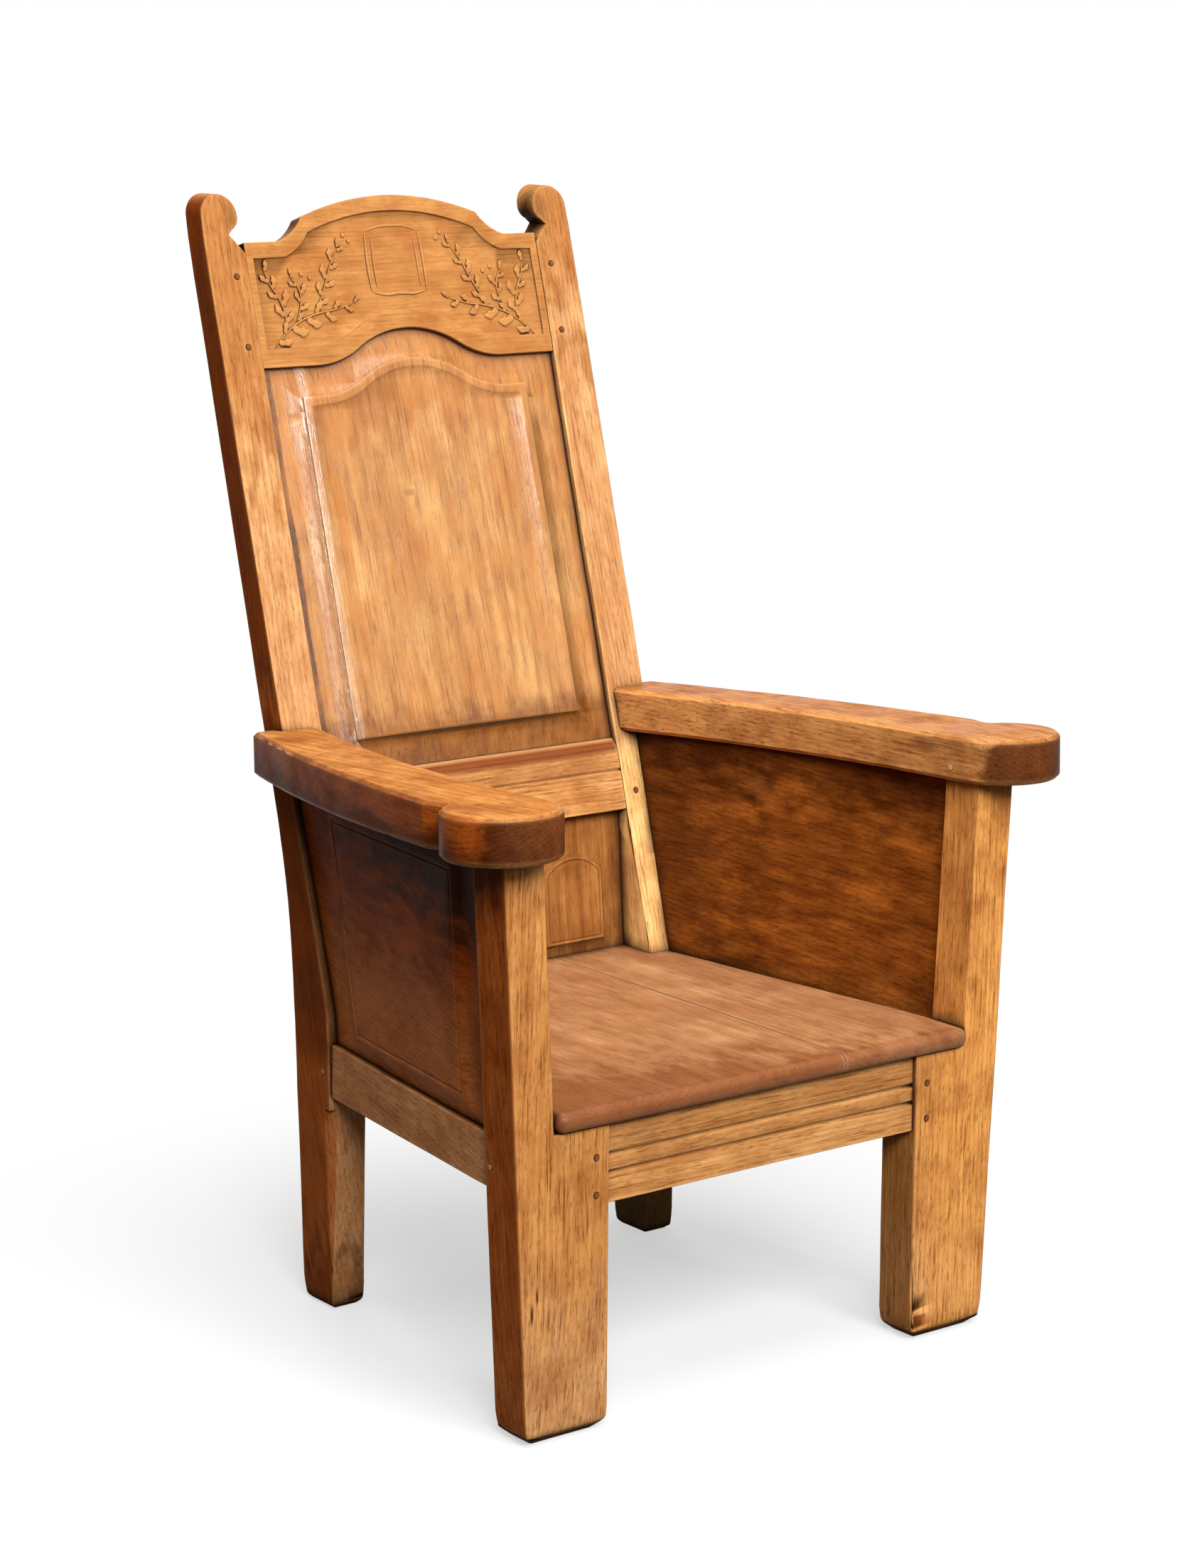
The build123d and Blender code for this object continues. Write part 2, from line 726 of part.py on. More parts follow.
def lower_tongue(grow):
    """The right lower panel's edge all round, or the grooves for it when it is grown."""
    reach = groove_depth - panel_play + grow * panel_play / fit
    face = rectangle(
        (muntin_width / 2 - reach, back_clear_half + reach),
        (-reach, up_lower_back(mid_rail_bottom) + reach),
    )
    return set_back(face, -grow, tongue_thickness + 2 * grow, lower_plane)


def lower_back_panel():
    """The right lower panel, with a round-headed raised field."""
    middle = (muntin_width / 2 + back_clear_half) / 2
    half = lower_field_width / 2
    foot = lower_field_foot
    crown = up_lower_back(mid_rail_bottom) - lower_field_head
    spring = crown - lower_field_crown
    sides = Polyline((-half, spring), (-half, foot), (half, foot), (half, spring))
    head = ThreePointArc((half, spring), (0, crown), (-half, spring))
    field = Pos(middle, 0) * make_face(sides + head)
    plate = extrude(lower_plane * field, amount=lower_field_rise, taper=lower_field_slope)
    return lower_tongue(0) + plate


def side_opening(grow):
    """The opening of a side frame seen from the side, widened into its grooves."""
    run = math.cos(splay)
    fall = side_rail_fall / seat_depth / run
    front = front_post_depth - grow
    low_front = side_rail_top + fall * grow - grow
    back_low_z = side_rail_top - fall * (seat_depth - front_post_depth)
    back_low = (leg_face(back_low_z) + grow, back_low_z - grow)
    back_seat = (seat_depth + grow, seat_height)
    back_high_z = arm_under(arm_meets_back) + grow
    return [
        (front, low_front),
        back_low,
        back_seat,
        (back_face(back_high_z) + grow, back_high_z),
        (front, arm_under(front) + grow),
    ]


def side_tongue(grow):
    """The right side panel's edge all round, or its grooves when it is grown."""
    reach = groove_depth - panel_play + grow * panel_play / fit
    inside = panel_plane.offset(grow + tongue_thickness - side_panel_thickness)
    slab = extrude(inside * Rectangle(far, far), amount=-tongue_thickness - 2 * grow)
    return slab & through_x(polygon(*side_opening(reach)), 0, far)


def side_field_face(extra):
    """The outline of a side panel's raised field, on the panel's own plane."""
    length = (seat_depth - front_post_depth) / math.cos(splay)
    fall = side_rail_fall / seat_depth
    start = side_margin_end - extra
    end = length - side_margin_end + extra
    rise = arm_under(front_post_depth) - side_rail_top
    low = side_margin_foot - extra
    high = rise - side_margin_head + extra
    lean = (high - low) * side_field_lean
    return polygon(
        (start, low - fall * start),
        (end, low - fall * end),
        (end + lean, high - arm_fall * end),
        (start, high - arm_fall * start),
    )


def side_panel():
    """The right side panel: flat inside, raised and fielded outside."""
    body_sheet = extrude(panel_plane * Rectangle(far, far), amount=-side_panel_thickness)
    border = body_sheet & through_x(polygon(*side_opening(-fit)), 0, far)
    bevel = loft(
        [
            panel_plane * side_field_face(side_bevel_width),
            panel_plane.offset(side_field_proud) * side_field_face(0),
        ],
        ruled=True,
    )
    return side_tongue(0) + border + bevel


# ---- seat boards ----
def seat_blank():
    """The whole seat before it is divided: a nosed slab between the posts."""
    half = post_outer(rail_top) - front_upright_width - fit
    outline = polygon(
        (-half, -seat_nosing),
        (half, -seat_nosing),
        (half, front_post_depth),
        (seat_side_front, front_post_depth + fit),
        (seat_side_back, seat_depth + leg_depth),
        (-seat_side_back, seat_depth + leg_depth),
        (-seat_side_front, front_post_depth + fit),
        (-half, front_post_depth),
    )
    corners = [corner for corner in outline.vertices() if corner.Y < 0]
    slab = Pos(0, 0, rail_top) * extrude(fillet(corners, seat_corner), amount=seat_thickness)
    nosing = []
    for edge in slab.edges():
        if edge.length > half and abs(edge.center().Y + seat_nosing) < fit:
            nosing.append(edge)
    slab = fillet(nosing, seat_nosing)
    behind_panels = set_back(Rectangle(far, far), -fit, far, lower_plane)
    post_face = polygon((seat_depth - fit, 0), (far, 0), (far, far), (seat_depth - fit, far))
    post = through_x(post_face, back_clear_half - fit, far)
    muntin = block(
        (-muntin_width / 2 - fit, muntin_width / 2 + fit),
        (lower_panel_depth - muntin_proud - fit, far),
        (0, far),
    )
    return slab - behind_panels - post - left_of(post) - muntin


def seat_board(low, high):
    """One board of the seat, between two lines across the chair."""
    return seat_blank() & block((low, high), (-far, far), (0, far))


# ---- pegs ----
def face_pegs(across, levels, length, maker):
    """Pegs driven straight back through the posts on both sides of the chair."""
    pegs = []
    for side in (-1, 1):
        for y, z in levels:
            pegs.append(maker((side * across, y, z), (0, 1, 0), length))
    return pegs


def raked_pegs(levels, maker):
    """Pegs driven square to the raked face of the back posts."""
    pegs = []
    for side in (-1, 1):
        for z in levels:
            start = (side * (back_clear_half + peg_inset), back_face(z), z)
            pegs.append(maker(start, (0, math.cos(rake), -math.sin(rake)), raked_peg_length))
    return pegs


def crest_pegs(maker):
    """Two pegs in each end of the crest rail."""
    return raked_pegs((overall_height - crest_peg_drop, crest_spring_height + crest_peg_rise), maker)


def mid_rail_pegs(maker):
    """One peg in each end of the middle rail."""
    return raked_pegs((mid_rail_top - mid_peg_drop,), maker)


def front_rail_pegs(maker):
    """Two pegs in each end of the front rail."""
    levels = (rail_top - front_peg_drop, rail_top - front_peg_drop - front_peg_pitch)
    heads = [(0, z) for z in levels]
    return face_pegs(front_clear_half + peg_inset, heads, front_post_depth - peg_stop, maker)


def back_rail_pegs(maker):
    """Two pegs in each end of the back seat rail, from the front."""
    levels = (rail_top - back_peg_drop, rail_top - back_peg_drop - back_peg_pitch)
    across = back_clear_half + leg_tenon_length / 2
    return face_pegs(across, [(leg_face(z), z) for z in levels], back_peg_length, maker)


def side_rail_pegs(maker):
    """One peg through each end tenon of the right side rail, from the outside."""
    front_y = front_post_depth - leg_tenon_length / 2
    front_z = side_rail_top - side_rail_depth_front / 2
    front = maker((post_outer(front_z), front_y, front_z), (-1, 0, 0), front_upright_width - peg_stop)
    back_z = side_rail_top - side_rail_fall - side_rail_depth_back / 2
    back_y = leg_face(back_z) + leg_tenon_length / 2
    taper = (back_post_width - back_foot_width) / seat_height
    outer = back_clear_half + back_foot_width + taper * back_z
    back = maker((outer, back_y, back_z), (-1, 0, 0), side_peg_length)
    return [front, back]


def arm_pegs(maker):
    """One peg through the tenon on top of the right front post, from the inside."""
    middle = front_post_depth / 2
    start = (arm_inner_front, middle, arm_under(middle) + arm_tenon_length / 2 + peg_radius)
    return [maker(start, (1, 0, 0), arm_peg_length)]


# ---- assembly: cut the joints, then name every piece ----
def cut_all(body, tools):
    """A body with every tool in a list cut from it."""
    for tool in tools:
        body = body - tool
    return body


side_cuts = [side_rail_tenons(fit), side_tongue(fit)] + side_rail_pegs(peg_hole)
front_cuts = [front_rail_tenons(fit)] + front_rail_pegs(peg_hole) + arm_pegs(peg_hole)
back_cuts = [crest_tenons(fit), mid_rail_tenons(fit), back_rail_tenons(fit), arm_back_tenon(fit)]
back_cuts += [upper_tongue(fit), lower_tongue(fit)]
back_cuts += crest_pegs(peg_hole) + mid_rail_pegs(peg_hole) + back_rail_pegs(peg_hole)

right_front_post = cut_all(front_post(), side_cuts + front_cuts)
right_back_post = cut_all(back_post(), side_cuts + back_cuts)
right_arm = cut_all(arm(), [arm_front_tenon(fit), side_tongue(fit)] + arm_pegs(peg_hole))
right_side_rail = cut_all(side_seat_rail(), [side_tongue(fit)] + side_rail_pegs(peg_hole))
right_side_panel = side_panel()
right_lower_panel = lower_back_panel()
crest = cut_all(crest_rail(), [upper_tongue(fit)] + crest_pegs(peg_hole))
lower_tongues = [lower_tongue(fit), left_of(lower_tongue(fit))]
lower_joints = lower_tongues + [muntin_tenons(fit)]
mid_rail = cut_all(mid_back_rail(), lower_joints + [upper_tongue(fit)] + mid_rail_pegs(peg_hole))
back_rail = cut_all(back_seat_rail(), lower_joints + back_rail_pegs(peg_hole))
front_rail = cut_all(front_seat_rail(), front_rail_pegs(peg_hole))
muntin = cut_all(lower_back_muntin(), lower_tongues)

pieces = {
    "front_post_right": right_front_post,
    "front_post_left": left_of(right_front_post),
    "back_post_right": right_back_post,
    "back_post_left": left_of(right_back_post),
    "crest_rail": crest,
    "upper_back_panel": upper_back_panel(),
    "mid_back_rail": mid_rail,
    "lower_back_muntin": muntin,
    "lower_back_panel_right": right_lower_panel,
    "lower_back_panel_left": left_of(right_lower_panel),
    "back_seat_rail": back_rail,
    "front_seat_rail": front_rail,
    "side_seat_rail_right": right_side_rail,
    "side_seat_rail_left": left_of(right_side_rail),
    "side_panel_right": right_side_panel,
    "side_panel_left": left_of(right_side_panel),
    "arm_right": right_arm,
    "arm_left": left_of(right_arm),
    "seat_board_wide": seat_board(-far, seat_joint_offset - fit),
    "seat_board_narrow": seat_board(seat_joint_offset + fit, far),
}
side_peg_pairs = side_rail_pegs(peg)
arm_peg_pairs = arm_pegs(peg)
peg_groups = {
    "crest_pegs": crest_pegs(peg),
    "mid_rail_pegs": mid_rail_pegs(peg),
    "front_rail_pegs": front_rail_pegs(peg),
    "back_rail_pegs": back_rail_pegs(peg),
    "side_rail_pegs": side_peg_pairs + [left_of(item) for item in side_peg_pairs],
    "arm_pegs": arm_peg_pairs + [left_of(item) for item in arm_peg_pairs],
}

# The part's own origin is under the middle of the box that holds the whole chair.
boxes = [piece.bounding_box() for piece in pieces.values()]
front_reach = min(box.min.Y for box in boxes)
rear_reach = max(box.max.Y for box in boxes)
shift = Pos(0, -(front_reach + rear_reach) / 2, 0)

for name, piece in pieces.items():
    export_step(shift * piece, f"parts/{name}.step")
for name, group in peg_groups.items():
    solids = [solid for item in group for solid in item.solids()]
    export_step(shift * Compound(children=solids), f"parts/{name}.step")
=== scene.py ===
"""A joined wainscot armchair in old waxed oak, dressed over its CAD frame."""

import math
from functools import partial

import bmesh
import bpy
from mathutils import Matrix, Vector, noise
from mathutils.bvhtree import BVHTree


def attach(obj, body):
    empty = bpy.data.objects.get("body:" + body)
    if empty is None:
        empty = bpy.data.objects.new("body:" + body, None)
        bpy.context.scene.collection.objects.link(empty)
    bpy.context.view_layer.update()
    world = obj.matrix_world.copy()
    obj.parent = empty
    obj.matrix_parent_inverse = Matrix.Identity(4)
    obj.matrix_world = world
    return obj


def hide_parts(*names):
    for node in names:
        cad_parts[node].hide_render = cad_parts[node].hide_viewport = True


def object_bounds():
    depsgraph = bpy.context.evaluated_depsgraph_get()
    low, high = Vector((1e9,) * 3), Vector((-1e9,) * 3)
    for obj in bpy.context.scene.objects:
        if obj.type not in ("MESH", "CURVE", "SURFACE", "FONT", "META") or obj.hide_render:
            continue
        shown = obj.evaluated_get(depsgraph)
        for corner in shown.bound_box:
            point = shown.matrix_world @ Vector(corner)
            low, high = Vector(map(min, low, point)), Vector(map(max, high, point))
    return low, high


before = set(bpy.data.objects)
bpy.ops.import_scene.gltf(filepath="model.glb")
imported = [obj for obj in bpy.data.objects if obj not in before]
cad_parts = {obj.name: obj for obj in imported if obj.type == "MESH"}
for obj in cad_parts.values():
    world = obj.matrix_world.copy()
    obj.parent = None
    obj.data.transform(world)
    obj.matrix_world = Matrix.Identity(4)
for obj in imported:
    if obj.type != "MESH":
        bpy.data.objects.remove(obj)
cad_low, cad_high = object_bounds()

MM = 0.001
RAKE = math.radians(15.6)  # lean of the back
SPLAY = math.radians(10)  # how much each side closes in to the back
FRONT_TO_MIDDLE = 316.436 * MM  # from the posts' front faces to the origin
SEAT_LINE = 421 * MM  # front faces of the posts to the back's face, at seat height
SEAT_HEIGHT = 323 * MM
LEFT, RIGHT, FRONT = (-1, 0, 0), (1, 0, 0), (0, -1, 0)  # the ways a face can look

noise.seed_set(18)  # unset, it follows the clock, and the planed faces waver otherwise at every run

# The two colour inputs, the factor and the result of a Mix node set to colours.
FACTOR, UNDER, OVER, MIXED = 0, 6, 7, 2


# ---- small helpers ----
def linear(hex_colour):
    """An sRGB hex colour as linear values with full alpha."""
    parts = [int(hex_colour[i : i + 2], 16) / 255 for i in (1, 3, 5)]
    return tuple(c / 12.92 if c <= 0.04045 else ((c + 0.055) / 1.055) ** 2.4 for c in parts) + (1.0,)


def add_node(tree, kind, inputs=None, **settings):
    """Adds a node with its settings, and sets or links its inputs."""
    made = tree.nodes.new(kind)
    for name, value in settings.items():
        setattr(made, name, value)
    for name, value in (inputs or {}).items():
        if isinstance(value, bpy.types.NodeSocket):
            tree.links.new(value, made.inputs[name])
        else:
            made.inputs[name].default_value = value
    return made


# ---- oak ----
DIRT_AND_SHADE = "#241108"  # old wax and dust, and the painted shade in corners and seams
UNPOLISHED = 0.01  # the shine of faces that look to the wall


def pattern_scale(wide, long):
    """The scale of a pattern whose marks are so many mm wide and, along the grain, so many mm long."""
    return (1 / (wide * MM), 1 / (wide * MM), 1 / (long * MM))


def grain_space(tree, place, turn, shift):
    """A space with the grain along Z, in which it wanders sideways by a few mm over a hand's length."""
    grain = add_node(tree, "ShaderNodeMapping", {"Vector": place, "Rotation": turn, "Location": shift}).outputs[0]
    slow = add_node(tree, "ShaderNodeMapping", {"Vector": grain, "Scale": pattern_scale(166.7, 400)}).outputs[0]
    sway = add_node(tree, "ShaderNodeTexNoise", {"Vector": slow, "Scale": 1, "Detail": 1}).outputs["Color"]
    sway = add_node(tree, "ShaderNodeVectorMath", {0: sway, 1: (0.5, 0.5, 0.5)}, operation="SUBTRACT").outputs[0]
    sway = add_node(tree, "ShaderNodeVectorMath", {0: sway, "Scale": 16 * MM}, operation="SCALE").outputs[0]
    return add_node(tree, "ShaderNodeVectorMath", {0: grain, 1: sway}, operation="ADD").outputs[0]


def kinds_of_face(tree, place):
    """Masks for faces that are upright, that look away from the chair's middle, or that look in to it."""
    normal = add_node(tree, "ShaderNodeNewGeometry").outputs["Normal"]
    facing = add_node(tree, "ShaderNodeSeparateXYZ", {0: normal}).outputs
    spot = add_node(tree, "ShaderNodeSeparateXYZ", {0: place}).outputs
    side = add_node(tree, "ShaderNodeMath", {0: spot["X"]}, operation="SIGN").outputs[0]
    away = add_node(tree, "ShaderNodeMath", {0: facing["X"], 1: side}, operation="MULTIPLY").outputs[0]
    level = add_node(tree, "ShaderNodeMath", {0: facing["Z"]}, operation="ABSOLUTE").outputs[0]
    masks = {"every": 1.0}
    for kind, value, none, full in (
        ("outward", away, 0.3, 0.85),
        ("inward", away, -0.3, -0.85),
        ("upright", level, 0.9, 0.4),
    ):
        masks[kind] = add_node(
            tree, "ShaderNodeMapRange", {"Value": value, "From Min": none, "From Max": full}
        ).outputs[0]
    return masks


def bright_strip(tree, place, shine, strip, half, strip_shine):
    """The shine of a face with an upright strip that is rubbed bright, but dull where it looks to the wall."""
    spot = add_node(tree, "ShaderNodeSeparateXYZ", {0: place}).outputs
    off = add_node(tree, "ShaderNodeMath", {0: spot["X"], 1: strip}, operation="SUBTRACT").outputs[0]
    off = add_node(tree, "ShaderNodeMath", {0: off}, operation="ABSOLUTE").outputs[0]
    polish = add_node(
        tree, "ShaderNodeMapRange",
        {"Value": off, "From Min": half, "From Max": half * 0.4, "To Min": shine, "To Max": strip_shine},
    ).outputs[0]
    normal = add_node(tree, "ShaderNodeNewGeometry").outputs["Normal"]
    facing = add_node(tree, "ShaderNodeSeparateXYZ", {0: normal}).outputs
    return add_node(
        tree, "ShaderNodeMapRange",
        {"Value": facing["Y"], "From Min": 0.6, "From Max": 0.2, "To Min": UNPOLISHED, "To Max": polish},
    ).outputs[0]


def aged_oak(name, light, dark, bare="#E3AE72", stain="#7A4520", turn=(0, 0, 0), shift=(0.05, 0.08, 0),
             ring=5.0, rings=0.2, streaks=(0.25, 0.75), pores=0.4, patches=0.4, patch_size=55, rubbed=0.35,
             dashes=0.35, edge_wear_and_highlight=0.3, corner_dirt_and_shade=0.9, seam_wax_and_shade=0.9, gloss=0.42, shine=0.05, outer_patina_and_shade_tone="#8A5A3C", outer_patina_and_shade=0.3,
             inner_rub_and_light=0.0, fades=(), marks=(), gleam=None):
    """Oak sawn, planed, waxed and rubbed by hands for centuries: straight fibres, open pores that hold dark wax,
    growth rings that run out on the face, cloudy patches of stain and bare places rubbed pale, paler edges
    where the wax has worn off, which also stand for a painted highlight, dirt with painted shade in the
    corners and seams, a darker skin with painted shade on the outer sides, and a paler one on the inner
    sides, which clothes and hands have rubbed and which is partly painted light. gleam is an upright strip
    that is rubbed bright: its place across, its half width and its shine.
    turn brings the grain onto Z, shift puts the heart of the tree beside the board, and ring and patch_size
    are in mm."""
    material = bpy.data.materials.new(name)
    material.use_nodes = True
    tree = material.node_tree
    tree.nodes.clear()
    place = add_node(tree, "ShaderNodeTexCoord").outputs["Object"]
    grain = grain_space(tree, place, turn, shift)
    faces = kinds_of_face(tree, place)

    # Growth rings, drawn out 25 times along the grain. A wave has 20 / 2 pi rings to a metre at a scale of 1.
    drawn_out = add_node(tree, "ShaderNodeMapping", {"Vector": grain, "Scale": (1, 1, 0.04)}).outputs[0]
    ring_wave = add_node(
        tree, "ShaderNodeTexWave",
        {"Vector": drawn_out, "Scale": math.tau / 20 / (ring * MM), "Distortion": 2.5, "Detail": 2,
         "Detail Scale": 0.6},
        wave_type="RINGS", rings_direction="Z", wave_profile="SIN",
    ).outputs["Fac"]

    # Streaks of colour, fibres, pores, places rubbed bare, clouds in the wax and stains: the space they lie in,
    # their width and length in mm, a shift, the noise's detail and roughness, and the stretch of it that shows.
    # Pores are drawn 1 mm wide so that they show, and the darkest fibres show as dashes.
    noises, shown = {}, {}
    for kind, space, wide, long, moved, detail, ragged, least, most in (
        ("streaks", grain, 10, 222, (0, 0, 0), 3, 0.5, *streaks),
        ("fibres", grain, 2.083, 55.6, (0, 0, 0), 2, 0.5, 0.56, 0.7),
        ("pores", grain, 1.111, 11.11, (0, 0, 0), 1, 0.5, 0.58, 0.72),
        ("bare", grain, 38.5, 111, (3, 5, 7), 4, 0.6, 0.46, 0.68),
        ("clouds", grain, 16.7, 38.5, (0, 0, 0), 3, 0.5, 0.42, 0.66),
        ("stains", place, patch_size, patch_size, (0, 0, 0), 4, 0.6, 0.45, 0.68),
    ):
        scaled = add_node(
            tree, "ShaderNodeMapping", {"Vector": space, "Location": moved, "Scale": pattern_scale(wide, long)}
        ).outputs[0]
        noises[kind] = add_node(
            tree, "ShaderNodeTexNoise", {"Vector": scaled, "Scale": 1, "Detail": detail, "Roughness": ragged}
        ).outputs[0]
        shown[kind] = add_node(
            tree, "ShaderNodeMapRange", {"Value": noises[kind], "From Min": least, "From Max": most}
        ).outputs[0]
    dents = add_node(tree, "ShaderNodeTexNoise", {"Vector": place, "Scale": 1 / (16.67 * MM), "Detail": 2}).outputs[0]

    # Edges that have lost their wax, where a ray sent inward soon leaves the wood, painted paler partly as a
    # highlight;
    # dirt and painted shade in wide corners; and old wax with painted shade as a thin dark line in every seam and
    # step:
    # the reach in mm, and the openness from none to full.
    nooks = {}
    for kind, reach, inside, samples, none, full in (
        ("edge", 5, True, 6, 0.95, 0.45),
        ("corner", 20, False, 8, 0.88, 0.35),
        ("seam_wax_and_shade", 5, False, 8, 0.8, 0.4),
    ):
        openness = add_node(
            tree, "ShaderNodeAmbientOcclusion", {"Distance": reach * MM},
            inside=inside, only_local=inside, samples=samples,
        ).outputs["AO"]
        nooks[kind] = add_node(
            tree, "ShaderNodeMapRange", {"Value": openness, "From Min": none, "From Max": full}
        ).outputs[0]

    # What lies over the streaked wood, from below: where, how strong, its tone, and how it is laid on.
    # Paler inner faces, partly rubbed by hands and partly a painted light, in the bare tone.
    coats = [(shown["bare"], rubbed, bare, "MIX"), (faces["inward"], inner_rub_and_light, bare, "MIX")]
    # Ends that time or hands have changed, and painted shadows, shade and light: the tone, the way it deepens,
    # where it starts and how far it takes to come in, both in metres, how strong it gets, and on which faces.
    for tone, way, start, reach, strength, on_faces in fades:
        along = add_node(tree, "ShaderNodeVectorMath", {0: place, 1: way}, operation="DOT_PRODUCT").outputs["Value"]
        along = add_node(
            tree, "ShaderNodeMath", {0: shown["clouds"], 1: reach * 0.5, 2: along}, operation="MULTIPLY_ADD"
        ).outputs[0]
        share = add_node(
            tree, "ShaderNodeMapRange",
            {"Value": along, "From Min": start, "From Max": start + reach, "To Max": strength},
            interpolation_type="SMOOTHSTEP",
        ).outputs[0]
        coats.append((share, faces[on_faces], tone, "MIX"))
    coats += (
        (ring_wave, rings, "#A06A3C", "MULTIPLY"),
        (noises["fibres"], 0.4, "#B58D63", "MULTIPLY"),
        (shown["clouds"], 0.3, "#B58258", "MULTIPLY"),
        (shown["stains"], patches, stain, "MIX"),
        (shown["fibres"], dashes, "#7A4420", "MULTIPLY"),
        (shown["pores"], pores, "#5B3116", "MULTIPLY"),
        # Outer faces darker, partly patina and partly painted shade.
        (faces["outward"], outer_patina_and_shade, outer_patina_and_shade_tone, "MULTIPLY"),
    )
    # Knots, splits, stains and a few painted shades with ragged rims: centre and half sizes in metres, a tone, and
    # how strong it is.
    for centre, half, tone, strength in marks:
        away = add_node(tree, "ShaderNodeVectorMath", {0: place, 1: centre}, operation="SUBTRACT").outputs[0]
        away = add_node(tree, "ShaderNodeVectorMath", {0: away, 1: half}, operation="DIVIDE").outputs[0]
        away = add_node(tree, "ShaderNodeVectorMath", {0: away}, operation="LENGTH").outputs["Value"]
        away = add_node(
            tree, "ShaderNodeMath", {0: noises["fibres"], 1: 0.5, 2: away}, operation="MULTIPLY_ADD"
        ).outputs[0]
        share = add_node(
            tree, "ShaderNodeMapRange", {"Value": away, "From Min": 1.45, "From Max": 0.7}
        ).outputs[0]
        coats.append((share, strength, tone, "MIX"))
    coats += (
        # Worn edges in the bare tone, partly a painted highlight.
        (nooks["edge"], edge_wear_and_highlight, bare, "MIX"),
        # Dirt with painted shade in wide corners, and old wax with painted shade in seams and steps.
        (nooks["corner"], corner_dirt_and_shade, DIRT_AND_SHADE, "MIX"),
        (nooks["seam_wax_and_shade"], seam_wax_and_shade, DIRT_AND_SHADE, "MIX"),
    )
    colour = add_node(
        tree, "ShaderNodeMix", {FACTOR: shown["streaks"], UNDER: linear(dark), OVER: linear(light)}, data_type="RGBA"
    ).outputs[MIXED]
    for where, strength, tone, blend in coats:
        share = add_node(tree, "ShaderNodeMath", {0: where, 1: strength}, operation="MULTIPLY").outputs[0]
        colour = add_node(
            tree, "ShaderNodeMix", {FACTOR: share, UNDER: colour, OVER: linear(tone)},
            data_type="RGBA", blend_type=blend,
        ).outputs[MIXED]

    # Stains and dirt are duller than the wax. Pores lie below the fibres, and rings and dents stand over them.
    rough, relief = gloss, noises["fibres"]
    for where, more in ((shown["stains"], 0.14), (nooks["corner"], 0.3 * corner_dirt_and_shade)):
        rough = add_node(tree, "ShaderNodeMath", {0: where, 1: more, 2: rough}, operation="MULTIPLY_ADD").outputs[0]
    for where, rise in ((shown["pores"], -0.9), (ring_wave, 0.35), (dents, 2.0)):
        relief = add_node(tree, "ShaderNodeMath", {0: where, 1: rise, 2: relief}, operation="MULTIPLY_ADD").outputs[0]
    bump = add_node(tree, "ShaderNodeBump", {"Height": relief, "Strength": 0.5, "Distance": 0.4 * MM}).outputs[0]
    polish = bright_strip(tree, place, shine, *gleam) if gleam else shine
    shader = add_node(
        tree, "ShaderNodeBsdfPrincipled",
        {"Base Color": colour, "Roughness": rough, "Normal": bump, "Specular IOR Level": polish},
    )
    add_node(tree, "ShaderNodeOutputMaterial", {"Surface": shader.outputs[0]})
    return material


def part_point(x, y, z):
    """A place in mm, measured from the middle, the posts' front faces and the floor, as metres here."""
    return (x * MM, y * MM - FRONT_TO_MIDDLE, z * MM)


ACROSS = (0.02, math.pi / 2, 0.02)
FORE_AND_AFT = (math.pi / 2, 0.02, 0)

# Feet and legs are paler where mops and shoes have rubbed them, and split and scuffed. The right post is
# brightened with painted light, the top of each outer side below the arm holds a painted shadow, and the
# inner sides of the legs below the seat a painted shade.
front_post_oak = aged_oak(
    "waxed_oak_front_posts", "#D59A58", "#B4763A", bare="#DFAA68", stain="#8C4D22", turn=(0.02, -0.03, 0),
    shift=(0.06, 0.11, 0), patches=0.6, pores=0.55, dashes=0.55, shine=0.01, outer_patina_and_shade_tone="#C98A44", outer_patina_and_shade=0.85,
    fades=(("#D7AC7C", (0, 0, -1), -170 * MM, 150 * MM, 0.5, "every"),
           ("#F2AC5A", (1, 0, 0), 180 * MM, 60 * MM, 0.6, "every"),
           ("#160A05", (0, 0, 1), 515 * MM, 50 * MM, 0.85, "outward"),
           ("#7E4A24", (0, 0, -1), -300 * MM, 40 * MM, 0.5, "inward")),
    marks=((part_point(-284, 0, 132), (2 * MM, 6 * MM, 11 * MM), "#2B140A", 0.9),
           (part_point(-278, 0, 149), (1.8 * MM, 6 * MM, 9 * MM), "#2B140A", 0.8),
           (part_point(250, 0, 350), (1.5 * MM, 5 * MM, 24 * MM), "#5E3317", 0.6)),
)
